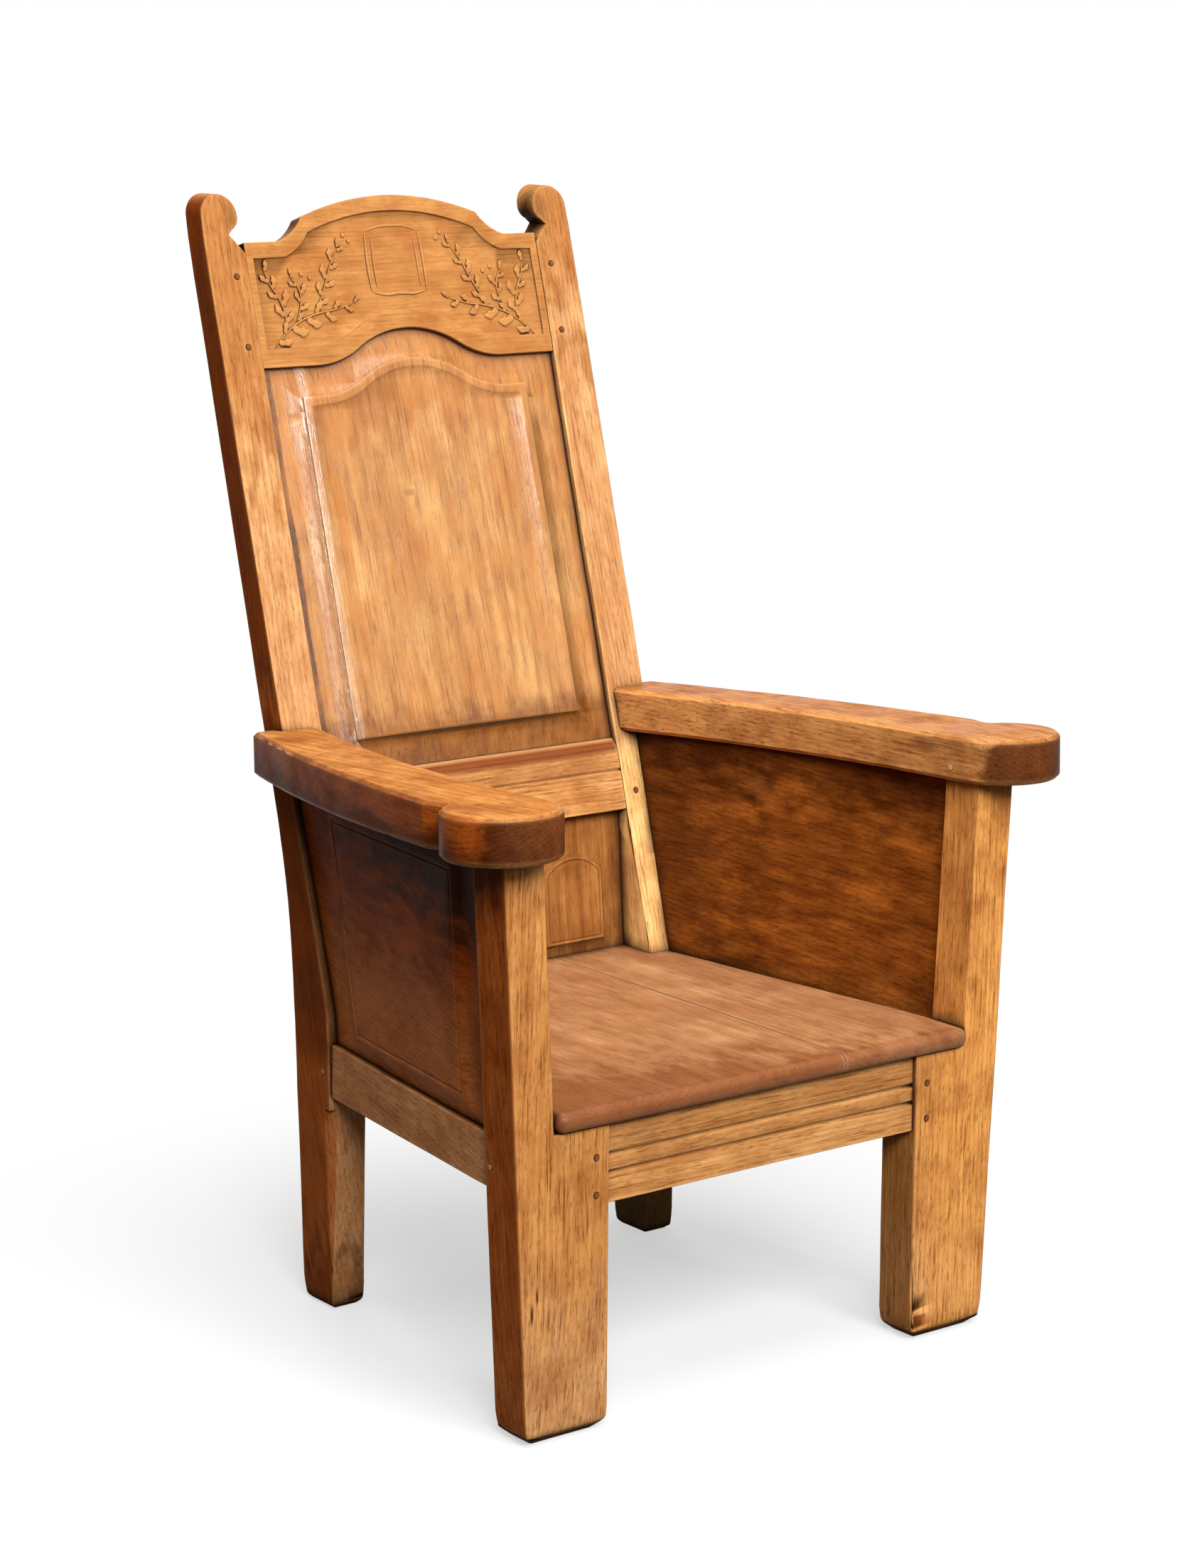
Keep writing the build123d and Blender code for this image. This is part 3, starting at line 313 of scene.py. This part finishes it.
# The inner curls of the ears hold the darkest wax and a painted shade, the back legs a painted shade towards
# the floor, the left post a painted shade and the right post a painted light below the arms, and the outer
# faces grow darker towards the top, partly patina and partly painted shade.
back_post_oak = aged_oak(
    "waxed_oak_back_posts", "#DAAB77", "#BD8858", bare="#F6CB88", stain="#AC6F3E", turn=(RAKE * 0.8, 0.02, 0),
    shift=(0.09, 0.04, 0), patches=0.5, pores=0.4, dashes=0.35, shine=0.01, outer_patina_and_shade_tone="#CE9048", outer_patina_and_shade=0.92,
    inner_rub_and_light=0.85, edge_wear_and_highlight=0.1,
    fades=(("#A2672F", (-0.3, 0, 1), 850 * MM, 220 * MM, 0.75, "every"),
           ("#6A3C1C", (-1, 0, -0.6), -136 * MM, 15 * MM, 0.75, "upright"),
           ("#CB9664", (-0.3, 0, -1), -215 * MM, 30 * MM, 0.95, "upright"),
           ("#8A5A34", (-0.3, 0, 1), 620 * MM, 160 * MM, 0.8, "outward"),
           ("#FFD48A", (1, 0, -0.6), -136 * MM, 15 * MM, 0.8, "upright"),
           ("#1E0E06", (0.5, 0, -1), -190 * MM, 110 * MM, 0.75, "every")),
    marks=((part_point(195, 658, 1104), (19 * MM, 18 * MM, 31 * MM), "#1E0E07", 0.95),
           (part_point(-195, 658, 1104), (19 * MM, 18 * MM, 31 * MM), "#1E0E07", 0.95)),
)
# The sunk ground of the carving is brown with wax and painted shade, only its open places are rubbed warm,
# and the crest's outer ends carry a painted shade.
crest_oak = aged_oak(
    "waxed_oak_crest", "#B9844B", "#A46F39", bare="#C99157", stain="#93562A", turn=ACROSS, shift=(0.02, 0.14, 0),
    pores=0.2, patches=0.6, patch_size=35, rings=0.08, dashes=0.12, streaks=(0.1, 0.9), edge_wear_and_highlight=0.2, corner_dirt_and_shade=1.0,
    seam_wax_and_shade=1.0, shine=0.05, outer_patina_and_shade_tone="#5A3016", outer_patina_and_shade=0.95,
)
# Backs have rubbed the tall panel smooth and golden over wide rings, and the left rim of its field gleams.
# A thin painted shadow lies beside the left stile, and wax with painted shade makes a dark line along the field's
# foot.
back_panel_oak = aged_oak(
    "waxed_oak_back_panel", "#C48F53", "#A36F3A", bare="#DAAE6E", stain="#A5652B", turn=(RAKE, 0.03, 0),
    shift=(0.03, 0.2, 0.1), ring=9, rings=0.2, streaks=(0.2, 0.75), pores=0.3, patches=0.6, patch_size=70,
    rubbed=0.55, gloss=0.27, shine=0.4, gleam=(-139 * MM, 8 * MM, 1.8),
    fades=(("#7C491C", (0, 0, -1), -610 * MM, 26 * MM, 0.8, "every"),
           ("#A8662C", (0, 0, 1), 870 * MM, 70 * MM, 0.4, "every"),
           ("#4A2610", (-1, 0, 0), 174.5 * MM, 2.5 * MM, 0.8, "every")),
    marks=((part_point(-29, 562, 828), (9 * MM, 20 * MM, 4 * MM), "#7A4520", 0.5),
           (part_point(-22, 562, 818), (3 * MM, 20 * MM, 9 * MM), "#7A4520", 0.4),
           (part_point(-100, 524, 693), (3 * MM, 20 * MM, 10 * MM), "#7A4520", 0.5),
           (part_point(-118, 555, 800), (8 * MM, 30 * MM, 70 * MM), "#A96327", 0.55),
           (part_point(0, 496, 583.5), (0.18, 14 * MM, 3.6 * MM), "#2E1608", 0.8)),
)
# The low panels lie in the shade of the arms and keep their brown wax.
lower_panel_oak = aged_oak(
    "waxed_oak_lower_panels", "#B27A40", "#8A5628", bare="#C48C50", stain="#74421D", turn=(0.08, 0.03, 0),
    shift=(0.03, 0.2, 0.1), ring=7, pores=0.3, patches=0.5, gloss=0.4, shine=0.03,
    fades=(("#4A3826", (1, 0, -0.3), 50 * MM, 60 * MM, 0.5, "every"),),
)
# The rails across have grain that runs level, with long dark dashes, and a red-brown line of wax and painted
# shade in the hollow of a moulding.
cross_rail_oak = aged_oak(
    "waxed_oak_rails", "#D49E5F", "#B47A42", bare="#E2B47A", stain="#8A4F24", turn=ACROSS, shift=(0.02, 0.1, 0.3),
    patches=0.5, dashes=0.5, shine=0.03,
    marks=((part_point(80, 482, 545), (0.4, 0.05, 9 * MM), "#6A2E12", 0.9),),
)
# The side rails are dry and pinkish, with little wax left.
side_rail_oak = aged_oak(
    "waxed_oak_side_rails", "#E6A46A", "#C28252", bare="#E8AE76", turn=(math.pi / 2, 0, SPLAY), shift=(0.1, 0.1, 0),
    patches=0.4, stain="#8A5226", shine=0.01, outer_patina_and_shade=0,
)
# The side panels are dark with wax on the outer face and red-brown inside, and a painted shadow under the arm
# turns the outer face nearly black and darkens the inner one.
side_panel_oak = aged_oak(
    "dark_waxed_oak_side_panels", "#9E5C20", "#6C3812", bare="#C4742C", stain="#4A240E", turn=(math.pi / 2, 0, 0),
    shift=(0.04, 0.05, 0.1), rings=0.2, patches=0.4, patch_size=110, rubbed=0.5, pores=0.4, gloss=0.4,
    shine=0.01, streaks=(0.3, 0.7), edge_wear_and_highlight=0.7, corner_dirt_and_shade=1.0, seam_wax_and_shade=1.0, outer_patina_and_shade_tone="#F2BE88", outer_patina_and_shade=0.9,
    fades=(("#CE9A6A", (0, 0, -1), -450 * MM, 110 * MM, 0.8, "outward"),
           ("#120A06", (0, -0.25, 1), 500 * MM, 80 * MM, 0.85, "outward"),
           ("#3A1C0C", (0, 0, 1), 500 * MM, 80 * MM, 0.6, "inward"),
           ("#3E2412", (0, 1, 0), -40 * MM, 180 * MM, 0.5, "inward")),
    marks=((part_point(200, 310, 520), (0.05, 26 * MM, 17 * MM), "#B4763C", 0.35),
           (part_point(200, 225, 548), (0.05, 34 * MM, 14 * MM), "#B4763C", 0.4),
           (part_point(210, 140, 535), (0.05, 28 * MM, 20 * MM), "#A9642C", 0.35),
           (part_point(205, 190, 500), (0.05, 60 * MM, 12 * MM), "#A9642C", 0.3)),
)
# Hands have rubbed the arms orange on top and left the paws dark. Their paler worn arrises are partly a painted
# highlight, their paler inner faces partly painted light, and their outer sides grow darker towards the underside.
arm_oak = aged_oak(
    "handled_oak_arms", "#CC8C47", "#A86730", bare="#E6B070", stain="#743A16", turn=FORE_AND_AFT,
    shift=(0.05, 0.02, 0), patches=0.6, gloss=0.32, pores=0.45, dashes=0.5, edge_wear_and_highlight=0.6, shine=0.02,
    outer_patina_and_shade_tone="#C98A38", outer_patina_and_shade=0.85, inner_rub_and_light=0.4,
    fades=(("#451E0E", (0, -1, 0), FRONT_TO_MIDDLE + 8 * MM, 26 * MM, 0.9, "upright"),
           ("#2A1409", (0, -0.03, -1), -588 * MM, 24 * MM, 0.65, "outward")),
    marks=((part_point(252, 65, 603), (8 * MM, 20 * MM, 8 * MM), "#5A2E14", 0.6),
           (part_point(-321, 34, 619), (9 * MM, 2 * MM, 8 * MM), "#3A1C0C", 0.7)),
)
# The seat is sat bare and pale, with broad soft streaks and a dark split.
seat_oak = aged_oak(
    "sat_on_oak_seat", "#B5845A", "#996842", bare="#C99B70", stain="#84502A", turn=FORE_AND_AFT,
    shift=(0.0, 0.05, 0), patches=0.6, patch_size=90, rubbed=0.6, gloss=0.36, pores=0.25, rings=0.1,
    streaks=(0.05, 0.95), dashes=0.25, shine=0.15,
    fades=(("#7C4824", (-0.4, -1, 0), 230 * MM, 120 * MM, 0.85, "every"),
           ("#7A4420", (0, -1, 0), 308 * MM, 14 * MM, 0.6, "every")),
    marks=((part_point(92, 200, 323), (1.6 * MM, 0.4, 8 * MM), "#2B150A", 0.9),),
)
# The pegs' ends show dark end grain, with dirt and painted shade round them.
peg_oak = aged_oak(
    "dark_oak_peg_ends", "#7C4A26", "#5A3118", bare="#8A5630", turn=(math.pi / 2, 0, 0), patches=0.2, corner_dirt_and_shade=1.0,
)


# ---- boards ----
JOINT_PLAY = 0.7 * MM
CUT_SPACING = 28 * MM  # between the cuts that let a long arris waver
CUT_MARGIN = 1.2 * MM  # a corner this near a cut is taken to lie on it
SHARP = math.radians(32)  # an edge that turns by more than this is an arris
SLOW_WAVES, QUICK_WAVES = 11, 38  # of a hand-planed face, to a metre
WORN_FOOT = 30 * MM  # the height to which a foot is rubbed


def merged_copy(node):
    """A CAD node's shape with its loose triangles joined and its flat faces whole."""
    form = bmesh.new()
    form.from_mesh(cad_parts[node].data)
    bmesh.ops.remove_doubles(form, verts=form.verts, dist=0.01 * MM)
    bmesh.ops.dissolve_limit(form, angle_limit=math.radians(0.4), verts=form.verts, edges=form.edges)
    return form


shapes = {node: merged_copy(node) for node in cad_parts}
trees = {node: BVHTree.FromBMesh(form) for node, form in shapes.items()}


def touches_neighbour(node, place):
    """Whether another node's face lies within a joint's play of a place."""
    return any(
        other != node and tree.find_nearest(place, JOINT_PLAY)[0] is not None for other, tree in trees.items()
    )


def slice_across(form, axis):
    """Cuts every face at even steps along an axis, so that long arrises can waver."""
    low = min(v.co[axis] for v in form.verts)
    high = max(v.co[axis] for v in form.verts)
    steps = int((high - low) / CUT_SPACING)
    normal = Vector((0, 0, 0))
    normal[axis] = 1
    for step in range(1, steps):
        point = normal * (low + (high - low) * step / steps)
        everything = form.verts[:] + form.edges[:] + form.faces[:]
        bmesh.ops.bisect_plane(form, geom=everything, dist=CUT_MARGIN, plane_co=point, plane_no=normal)


def waver(place, uneven):
    """How far hand planing and old age have moved a point of the chair."""
    slow = noise.noise_vector(place * SLOW_WAVES) * 0.45 * MM
    quick = noise.noise_vector(place * QUICK_WAVES) * 0.22 * MM
    return (slow + quick) * uneven


def field_of(form, way):
    """The outermost flat face of a board, seen from a side."""
    facing = [face for face in form.faces if face.normal.dot(Vector(way)) > 0.9]
    plain = max(facing, key=lambda face: face.calc_area()).normal.copy()
    flat = [face for face in facing if face.normal.dot(plain) > 0.9999]
    return [max(flat, key=lambda face: face.calc_center_median().dot(plain))]


def round_field(form):
    """Rubs the rim of the upper panel's raised field round, down to its bevel, but leaves its foot crisp."""
    out = Vector((0, -math.cos(RAKE), math.sin(RAKE)))
    field = field_of(form, FRONT)
    rim_drop, bevel_drop = 2.6, 1.2  # mm
    drops = {vert: rim_drop for vert in field[0].verts}
    for vert in field[0].verts:
        for edge in vert.link_edges:
            other = edge.other_vert(vert)
            if abs((other.co - vert.co).normalized().dot(out)) > 0.99:
                drops[other] = bevel_drop
    foot = min(vert.co.z for vert in drops)
    for drop in (1.5, 0.65, 0.15, 0):  # mm, at every 3 mm in from the rim
        bmesh.ops.inset_region(form, faces=field, thickness=3 * MM, use_even_offset=True)
        for vert in field[0].verts:
            drops.setdefault(vert, drop)
    for vert, drop in drops.items():
        crisp = 0.15 if vert.co.z < foot + 14 * MM else 1
        vert.co -= out * drop * crisp * MM


def cut_quirk(form, way, border):
    """Scratches a thin groove round a raised field, a border's width in mm from its edge."""
    field = field_of(form, way)
    slope, floor, depth = 0.9, 0.6, 1.1  # mm
    for width, rise in ((border, 0), (slope, -depth), (floor, 0), (slope, depth)):
        bmesh.ops.inset_region(form, faces=field, thickness=width * MM, depth=rise * MM, use_even_offset=True)


def wear_foot(form):
    """Rubs the bottom of a leg round: it draws in towards its own middle over its last two finger widths."""
    for height in (4, 9, 16, 25, 36):  # mm
        everything = form.verts[:] + form.edges[:] + form.faces[:]
        bmesh.ops.bisect_plane(
            form, geom=everything, dist=0.02 * MM, plane_co=(0, 0, height * MM), plane_no=(0, 0, 1)
        )
    low = [vert for vert in form.verts if vert.co.z < WORN_FOOT]
    middle = sum((vert.co for vert in low), Vector()) / len(low)
    for vert in low:
        draw = 0.1 * (1 - vert.co.z / WORN_FOOT) ** 2
        vert.co.x += (middle.x - vert.co.x) * draw
        vert.co.y += (middle.y - vert.co.y) * draw


def inside_chair(place):
    """A point kept within the chair's own box."""
    return Vector(max(low, min(high, c)) for low, c, high in zip(cad_low, place, cad_high))


def finish_piece(name, form, material, arris):
    """Turns a form into an object with worn arrises that rides with the chair."""
    mesh = bpy.data.meshes.new(name)
    form.to_mesh(mesh)
    form.free()
    mesh.shade_smooth()
    mesh.set_sharp_from_angle(angle=SHARP)
    mesh.materials.append(material)
    piece = bpy.data.objects.new(name, mesh)
    bpy.context.scene.collection.objects.link(piece)
    worn = piece.modifiers.new("worn_arrises", "BEVEL")
    worn.width = arris * MM
    worn.segments = 2
    worn.limit_method = "WEIGHT"
    worn.use_clamp_overlap = False
    worn.harden_normals = True
    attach(piece, "root")
    return piece


def worn_board(node, material, arris, uneven, shape, extra):
    """A board of the chair with its faces a little uneven and its free arrises worn round."""
    form = shapes[node].copy()
    if shape:
        shape(form)
    for axis in (1, 2) if node.startswith("arm_") else (0, 1, 2):
        slice_across(form, axis)
    weight = form.edges.layers.float.new("bevel_weight_edge")
    for edge in form.edges:
        if len(edge.link_faces) != 2 or not edge.is_convex or edge.calc_face_angle() < SHARP:
            continue
        joint = touches_neighbour(node, (edge.verts[0].co + edge.verts[1].co) / 2)
        edge[weight] = 0.4 if joint else 1
    for vert in form.verts:
        vert.co = inside_chair(vert.co + waver(vert.co, uneven))
    if extra:
        extra(form)
    piece = finish_piece(node + "_worn", form, material, arris)
    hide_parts(node)


# ---- carved foliage of the crest ----
CREST_GROUND = -4.5  # mm from the back's face to the sunk ground of the crest


def on_crest(x, height, proud):
    """A point over the crest's sunk ground, from mm across, mm of height and mm proud of the ground."""
    up_slope = Vector((0, math.sin(RAKE), math.cos(RAKE)))
    outward = Vector((0, -math.cos(RAKE), math.sin(RAKE)))
    foot = Vector((x * MM, SEAT_LINE - FRONT_TO_MIDDLE, SEAT_HEIGHT))
    climb = (height * MM - SEAT_HEIGHT) / math.cos(RAKE)
    return foot + up_slope * climb + outward * (CREST_GROUND + proud) * MM


def along_path(path, share):
    """A point a share of the way along a smooth line through the points of a path."""
    run = share * (len(path) - 1)
    leg = min(int(run), len(path) - 2)
    part = run - leg
    points = [Vector(path[max(0, min(len(path) - 1, leg + step))]) for step in (-1, 0, 1, 2)]
    before, start, end, after = points
    bend = (2 * before - 5 * start + 4 * end - after) * part**2 + (3 * (start - end) + after - before) * part**3
    return start + ((end - before) * part + bend) / 2


def carve(form, path, half_width, relief, vein=0.0, lobes=0):
    """Adds one stem, leaf or berry in low relief, in mm: a closed form drawn along a path, its foot sunk in the
    ground. A leaf has a groove for its vein and lobes along its rim."""
    sunk = 1.5
    rings = 6 * len(path) if lobes else 5 * len(path)
    made = bmesh.ops.create_uvsphere(form, u_segments=14, v_segments=rings, radius=1)
    for vert in made["verts"]:
        side, out, share = vert.co.x, vert.co.y, (vert.co.z + 1) / 2
        middle = along_path(path, share)
        ahead = along_path(path, min(share + 0.02, 1)) - along_path(path, max(share - 0.02, 0))
        ahead.normalize()
        spread = half_width * (1 + 0.22 * math.sin(share * math.tau * lobes) if lobes else 1)
        reach = side * spread
        rise = out * relief if out > 0 else out * sunk
        if out > 0 and vein:
            rise -= vein * relief * math.exp(-((side / 0.2) ** 2)) * math.sin(share * math.pi)
        vert.co = on_crest(middle.x - ahead.y * reach, middle.y + ahead.x * reach, rise)
    faces = {face for vert in made["verts"] for face in vert.link_faces}
    bmesh.ops.recalc_face_normals(form, faces=list(faces))


stems = (
    # path across and up in mm, then the leaves: how far along, which hand, length and lean in degrees
    (((168, 983), (151, 998), (130, 1010), (106, 1017), (84, 1020), (58, 1027)),
     ((0.1, 1, 13, 50), (0.2, -1, 10, 45), (0.3, 1, 16, 62), (0.38, -1, 9, 40), (0.47, 1, 15, 55),
      (0.57, -1, 11, 50), (0.68, 1, 12, 58), (0.78, -1, 10, 45), (0.88, 1, 9, 50), (0.97, -1, 8, 30))),
    (((112, 1016), (101, 1032), (92, 1048), (83, 1066), (70, 1084)),
     ((0.18, 1, 10, 48), (0.3, -1, 11, 52), (0.45, 1, 10, 55), (0.55, -1, 12, 50), (0.7, 1, 9, 50),
      (0.8, -1, 10, 55), (0.93, 1, 8, 40), (0.97, -1, 8, 35))),
    (((152, 998), (148, 1014), (152, 1032), (161, 1048), (166, 1064)),
     ((0.2, 1, 11, 50), (0.28, -1, 12, 48), (0.42, 1, 14, 55), (0.55, -1, 10, 50), (0.68, 1, 11, 52),
      (0.8, -1, 9, 50), (0.95, 1, 9, 35))),
    (((136, 1008), (128, 1024), (126, 1040), (134, 1054)),
     ((0.3, 1, 10, 55), (0.45, -1, 9, 50), (0.62, 1, 10, 50), (0.8, -1, 8, 50), (0.97, 1, 8, 30))),
)
berries = ((118, 1046), (111, 1053), (121, 1057), (62, 1095), (56, 1089))
reserve = (
    # the bare reserve's frame: double uprights, then its head and foot
    (((-35, 1036), (-36, 1066), (-34, 1098)), 1.9, 1.3),
    (((35, 1036), (36, 1066), (34, 1098)), 1.9, 1.3),
    (((-28, 1040), (-28, 1067), (-27, 1094)), 1.4, 1.1),
    (((28, 1040), (28, 1067), (27, 1094)), 1.4, 1.1),
    (((-34, 1098), (-18, 1103), (0, 1104), (18, 1103), (34, 1098)), 1.8, 1.3),
    (((-34, 1036), (-18, 1033), (0, 1034), (18, 1033), (34, 1036)), 1.8, 1.3),
)


def leaf_path(stem, share, hand, length, lean):
    """The midrib of a leaf that springs from a stem and curls forward."""
    root = along_path(stem, share)
    ahead = along_path(stem, min(share + 0.02, 1)) - along_path(stem, max(share - 0.02, 0))
    ahead.normalize()
    points = [root]
    for step in range(3):
        turned = Matrix.Rotation(hand * math.radians(lean * (1.1 - 0.4 * step)), 2) @ ahead
        points.append(points[-1] + turned * length * 0.45)
    return points


def carve_crest(form):
    """The two sprays of foliage and the bare reserve between them."""
    for flip in (-1, 1):
        for stem, leaves in stems:
            stem = [Vector((flip * x, height)) for x, height in stem]
            carve(form, stem, 1.2, 1.6)
            for share, hand, length, lean in leaves:
                path = leaf_path(stem, share, hand * flip, length, lean)
                carve(form, path, 0.3 * length, 2.4, 0.5, 2)
        for x, height in berries:
            carve(form, [Vector((flip * x, height - 2.4)), Vector((flip * x, height + 2.4))], 2.4, 1.6)
    for path, half_width, relief in reserve:
        carve(form, [Vector(point) for point in path], half_width, relief)


boards = (
    # the nodes, their oak and slot, how round their arrises are in mm, and how uneven they are
    (("front_post_left", "front_post_right"), front_post_oak, "frame_wood", 2.4, 1.0),
    (("back_post_left", "back_post_right"), back_post_oak, "frame_wood", 1.6, 1.0),
    (("mid_back_rail", "front_seat_rail", "back_seat_rail"), cross_rail_oak, "frame_wood", 1.2, 0.8),
    (("lower_back_muntin",), lower_panel_oak, "frame_wood", 1.0, 0.8),
    (("side_seat_rail_left", "side_seat_rail_right"), side_rail_oak, "frame_wood", 1.6, 1.0),
    (("crest_rail",), crest_oak, "crest_wood", 1.2, 0.7),
    (("upper_back_panel",), back_panel_oak, "back_panel_wood", 0.6, 0.35),
    (("lower_back_panel_left", "lower_back_panel_right"), lower_panel_oak, "back_panel_wood", 0.7, 0.5),
    (("side_panel_left", "side_panel_right"), side_panel_oak, "side_panel_wood", 0.8, 0.7),
    (("arm_left", "arm_right"), arm_oak, "arm_wood", 0.5, 1.0),
    (("seat_board_wide", "seat_board_narrow"), seat_oak, "seat_wood", 1.2, 0.5),
    (("crest_pegs", "mid_rail_pegs", "front_rail_pegs", "back_rail_pegs"), peg_oak, "peg_wood", 0.4, 0.5),
    (("side_rail_pegs",), front_post_oak, "peg_wood", 0.4, 0.5),
    (("arm_pegs",), arm_oak, "peg_wood", 0.4, 0.5),
)
reshaped = {"upper_back_panel": round_field}
for side, way in (("left", LEFT), ("right", RIGHT)):
    reshaped["lower_back_panel_" + side] = partial(cut_quirk, way=FRONT, border=1.6)
    reshaped["side_panel_" + side] = partial(cut_quirk, way=way, border=3)
    reshaped["front_post_" + side] = reshaped["back_post_" + side] = wear_foot
added = {"crest_rail": carve_crest}
for nodes, material, slot, arris, uneven in boards:
    for node in nodes:
        worn_board(node, material, arris, uneven, reshaped.get(node), added.get(node))


# ---- floor, backdrop and light ----
def seen_rays(tree):
    """1 for the rays that show the white surround as it is: the camera's, and those off gloss and glass."""
    rays = add_node(tree, "ShaderNodeLightPath").outputs
    seen = add_node(
        tree, "ShaderNodeMath", {0: rays["Is Camera Ray"], 1: rays["Is Glossy Ray"]}, operation="MAXIMUM"
    ).outputs[0]
    return add_node(
        tree, "ShaderNodeMath", {0: seen, 1: rays["Is Transmission Ray"]}, operation="MAXIMUM"
    ).outputs[0]


def studio_floor():
    """Matt white paper under the chair that fades into an even white round its footprint."""
    material = bpy.data.materials.new("matt_white_paper")
    material.use_nodes = True
    tree = material.node_tree
    tree.nodes.clear()
    place = add_node(tree, "ShaderNodeTexCoord").outputs["Object"]
    away = add_node(tree, "ShaderNodeVectorMath", {0: place, 1: (0, -0.1, 0)}, operation="DISTANCE").outputs["Value"]
    fade = add_node(
        tree, "ShaderNodeMapRange", {"Value": away, "From Min": 0.35, "From Max": 0.95, "To Min": 0.55},
        interpolation_type="SMOOTHSTEP",
    ).outputs[0]
    seen = seen_rays(tree)
    fade = add_node(tree, "ShaderNodeMath", {0: fade, 1: seen}, operation="MULTIPLY").outputs[0]
    # Light that bounces off the floor sees a greyer paper, so the chair's underside stays dark.
    tone = add_node(
        tree, "ShaderNodeMix", {FACTOR: seen, UNDER: linear("#5A5A5A"), OVER: linear("#E0E0E0")}, data_type="RGBA"
    ).outputs[MIXED]
    paper = add_node(tree, "ShaderNodeBsdfDiffuse", {"Color": tone}).outputs[0]
    white = add_node(tree, "ShaderNodeEmission", {"Color": (1, 1, 1, 1), "Strength": 1}).outputs[0]
    surface = add_node(tree, "ShaderNodeMixShader", {0: fade, 1: paper, 2: white}).outputs[0]
    add_node(tree, "ShaderNodeOutputMaterial", {"Surface": surface})

    form = bmesh.new()
    bmesh.ops.create_circle(form, cap_ends=True, segments=64, radius=2.2)
    mesh = bpy.data.meshes.new("studio_floor")
    form.to_mesh(mesh)
    form.free()
    mesh.materials.append(material)
    floor = bpy.data.objects.new("studio_floor", mesh)
    bpy.context.scene.collection.objects.link(floor)


def studio_world():
    """Even white behind the chair, and a dim light from all round on it."""
    world = bpy.data.worlds.new("studio")
    bpy.context.scene.world = world
    world.use_nodes = True
    tree = world.node_tree
    tree.nodes.clear()
    seen = seen_rays(tree)
    around = add_node(tree, "ShaderNodeBackground", {"Color": (1, 1, 1, 1), "Strength": 0.11}).outputs[0]
    white = add_node(tree, "ShaderNodeBackground", {"Color": (1, 1, 1, 1), "Strength": 1}).outputs[0]
    both = add_node(tree, "ShaderNodeMixShader", {0: seen, 1: around, 2: white}).outputs[0]
    add_node(tree, "ShaderNodeOutputWorld", {"Surface": both})


def soft_box(name, place, aim, size, power, seen):
    """A square soft light at a place, turned towards a point of the chair, and seen in its gloss or not."""
    lamp = bpy.data.lights.new(name, "AREA")
    lamp.size = size
    lamp.energy = power
    light = bpy.data.objects.new(name, lamp)
    light.location = place
    light.visible_camera = light.visible_glossy = seen
    light.rotation_euler = (Vector(aim) - Vector(place)).to_track_quat("-Z", "Y").to_euler()
    bpy.context.scene.collection.objects.link(light)


def studio_camera():
    """Seen from the front left, a little above the arms."""
    turn, dip, roll = math.radians(37.38), math.radians(11.67), math.radians(0.28)
    forward = Vector((math.sin(turn) * math.cos(dip), math.cos(turn) * math.cos(dip), -math.sin(dip)))
    right = Vector((math.cos(turn), -math.sin(turn), 0))
    up = right.cross(forward)
    right, up = (
        right * math.cos(roll) + up * math.sin(roll),
        up * math.cos(roll) - right * math.sin(roll),
    )
    lens = bpy.data.cameras.new("camera")
    lens.sensor_width = 36
    lens.lens = 84.07
    camera = bpy.data.objects.new("camera", lens)
    camera.matrix_world = Matrix.Translation(Vector(part_point(-2208.1, -2614.5, 1309.4))) @ Matrix(
        (right, up, -forward)
    ).transposed().to_4x4()
    bpy.context.scene.collection.objects.link(camera)
    bpy.context.scene.camera = camera


studio_floor()
studio_world()
for lamp in (
    # name, place, aim and size in metres, power in watts, and whether it is seen
    ("key_light", (-0.2, -4.2, 3.6), (0, 0, 0.45), 2.0, 180, True),
    ("fill_light", (-1.8, -3.0, 2.7), (0, 0, 0.5), 1.4, 140, True),
    ("top_light", (0, -0.3, 3.3), (0, -0.1, 0.4), 2.4, 95, True),
    ("sheen_light", (0.1, -3.4, 2.0), (0, 0, 0.8), 0.9, 20, True),
    ("back_light", (1.6, 3.8, 0.9), (0, 0, 0.6), 1.6, 50, False),
):
    soft_box(*lamp)
studio_camera()
bpy.context.scene.view_settings.view_transform = "Standard"
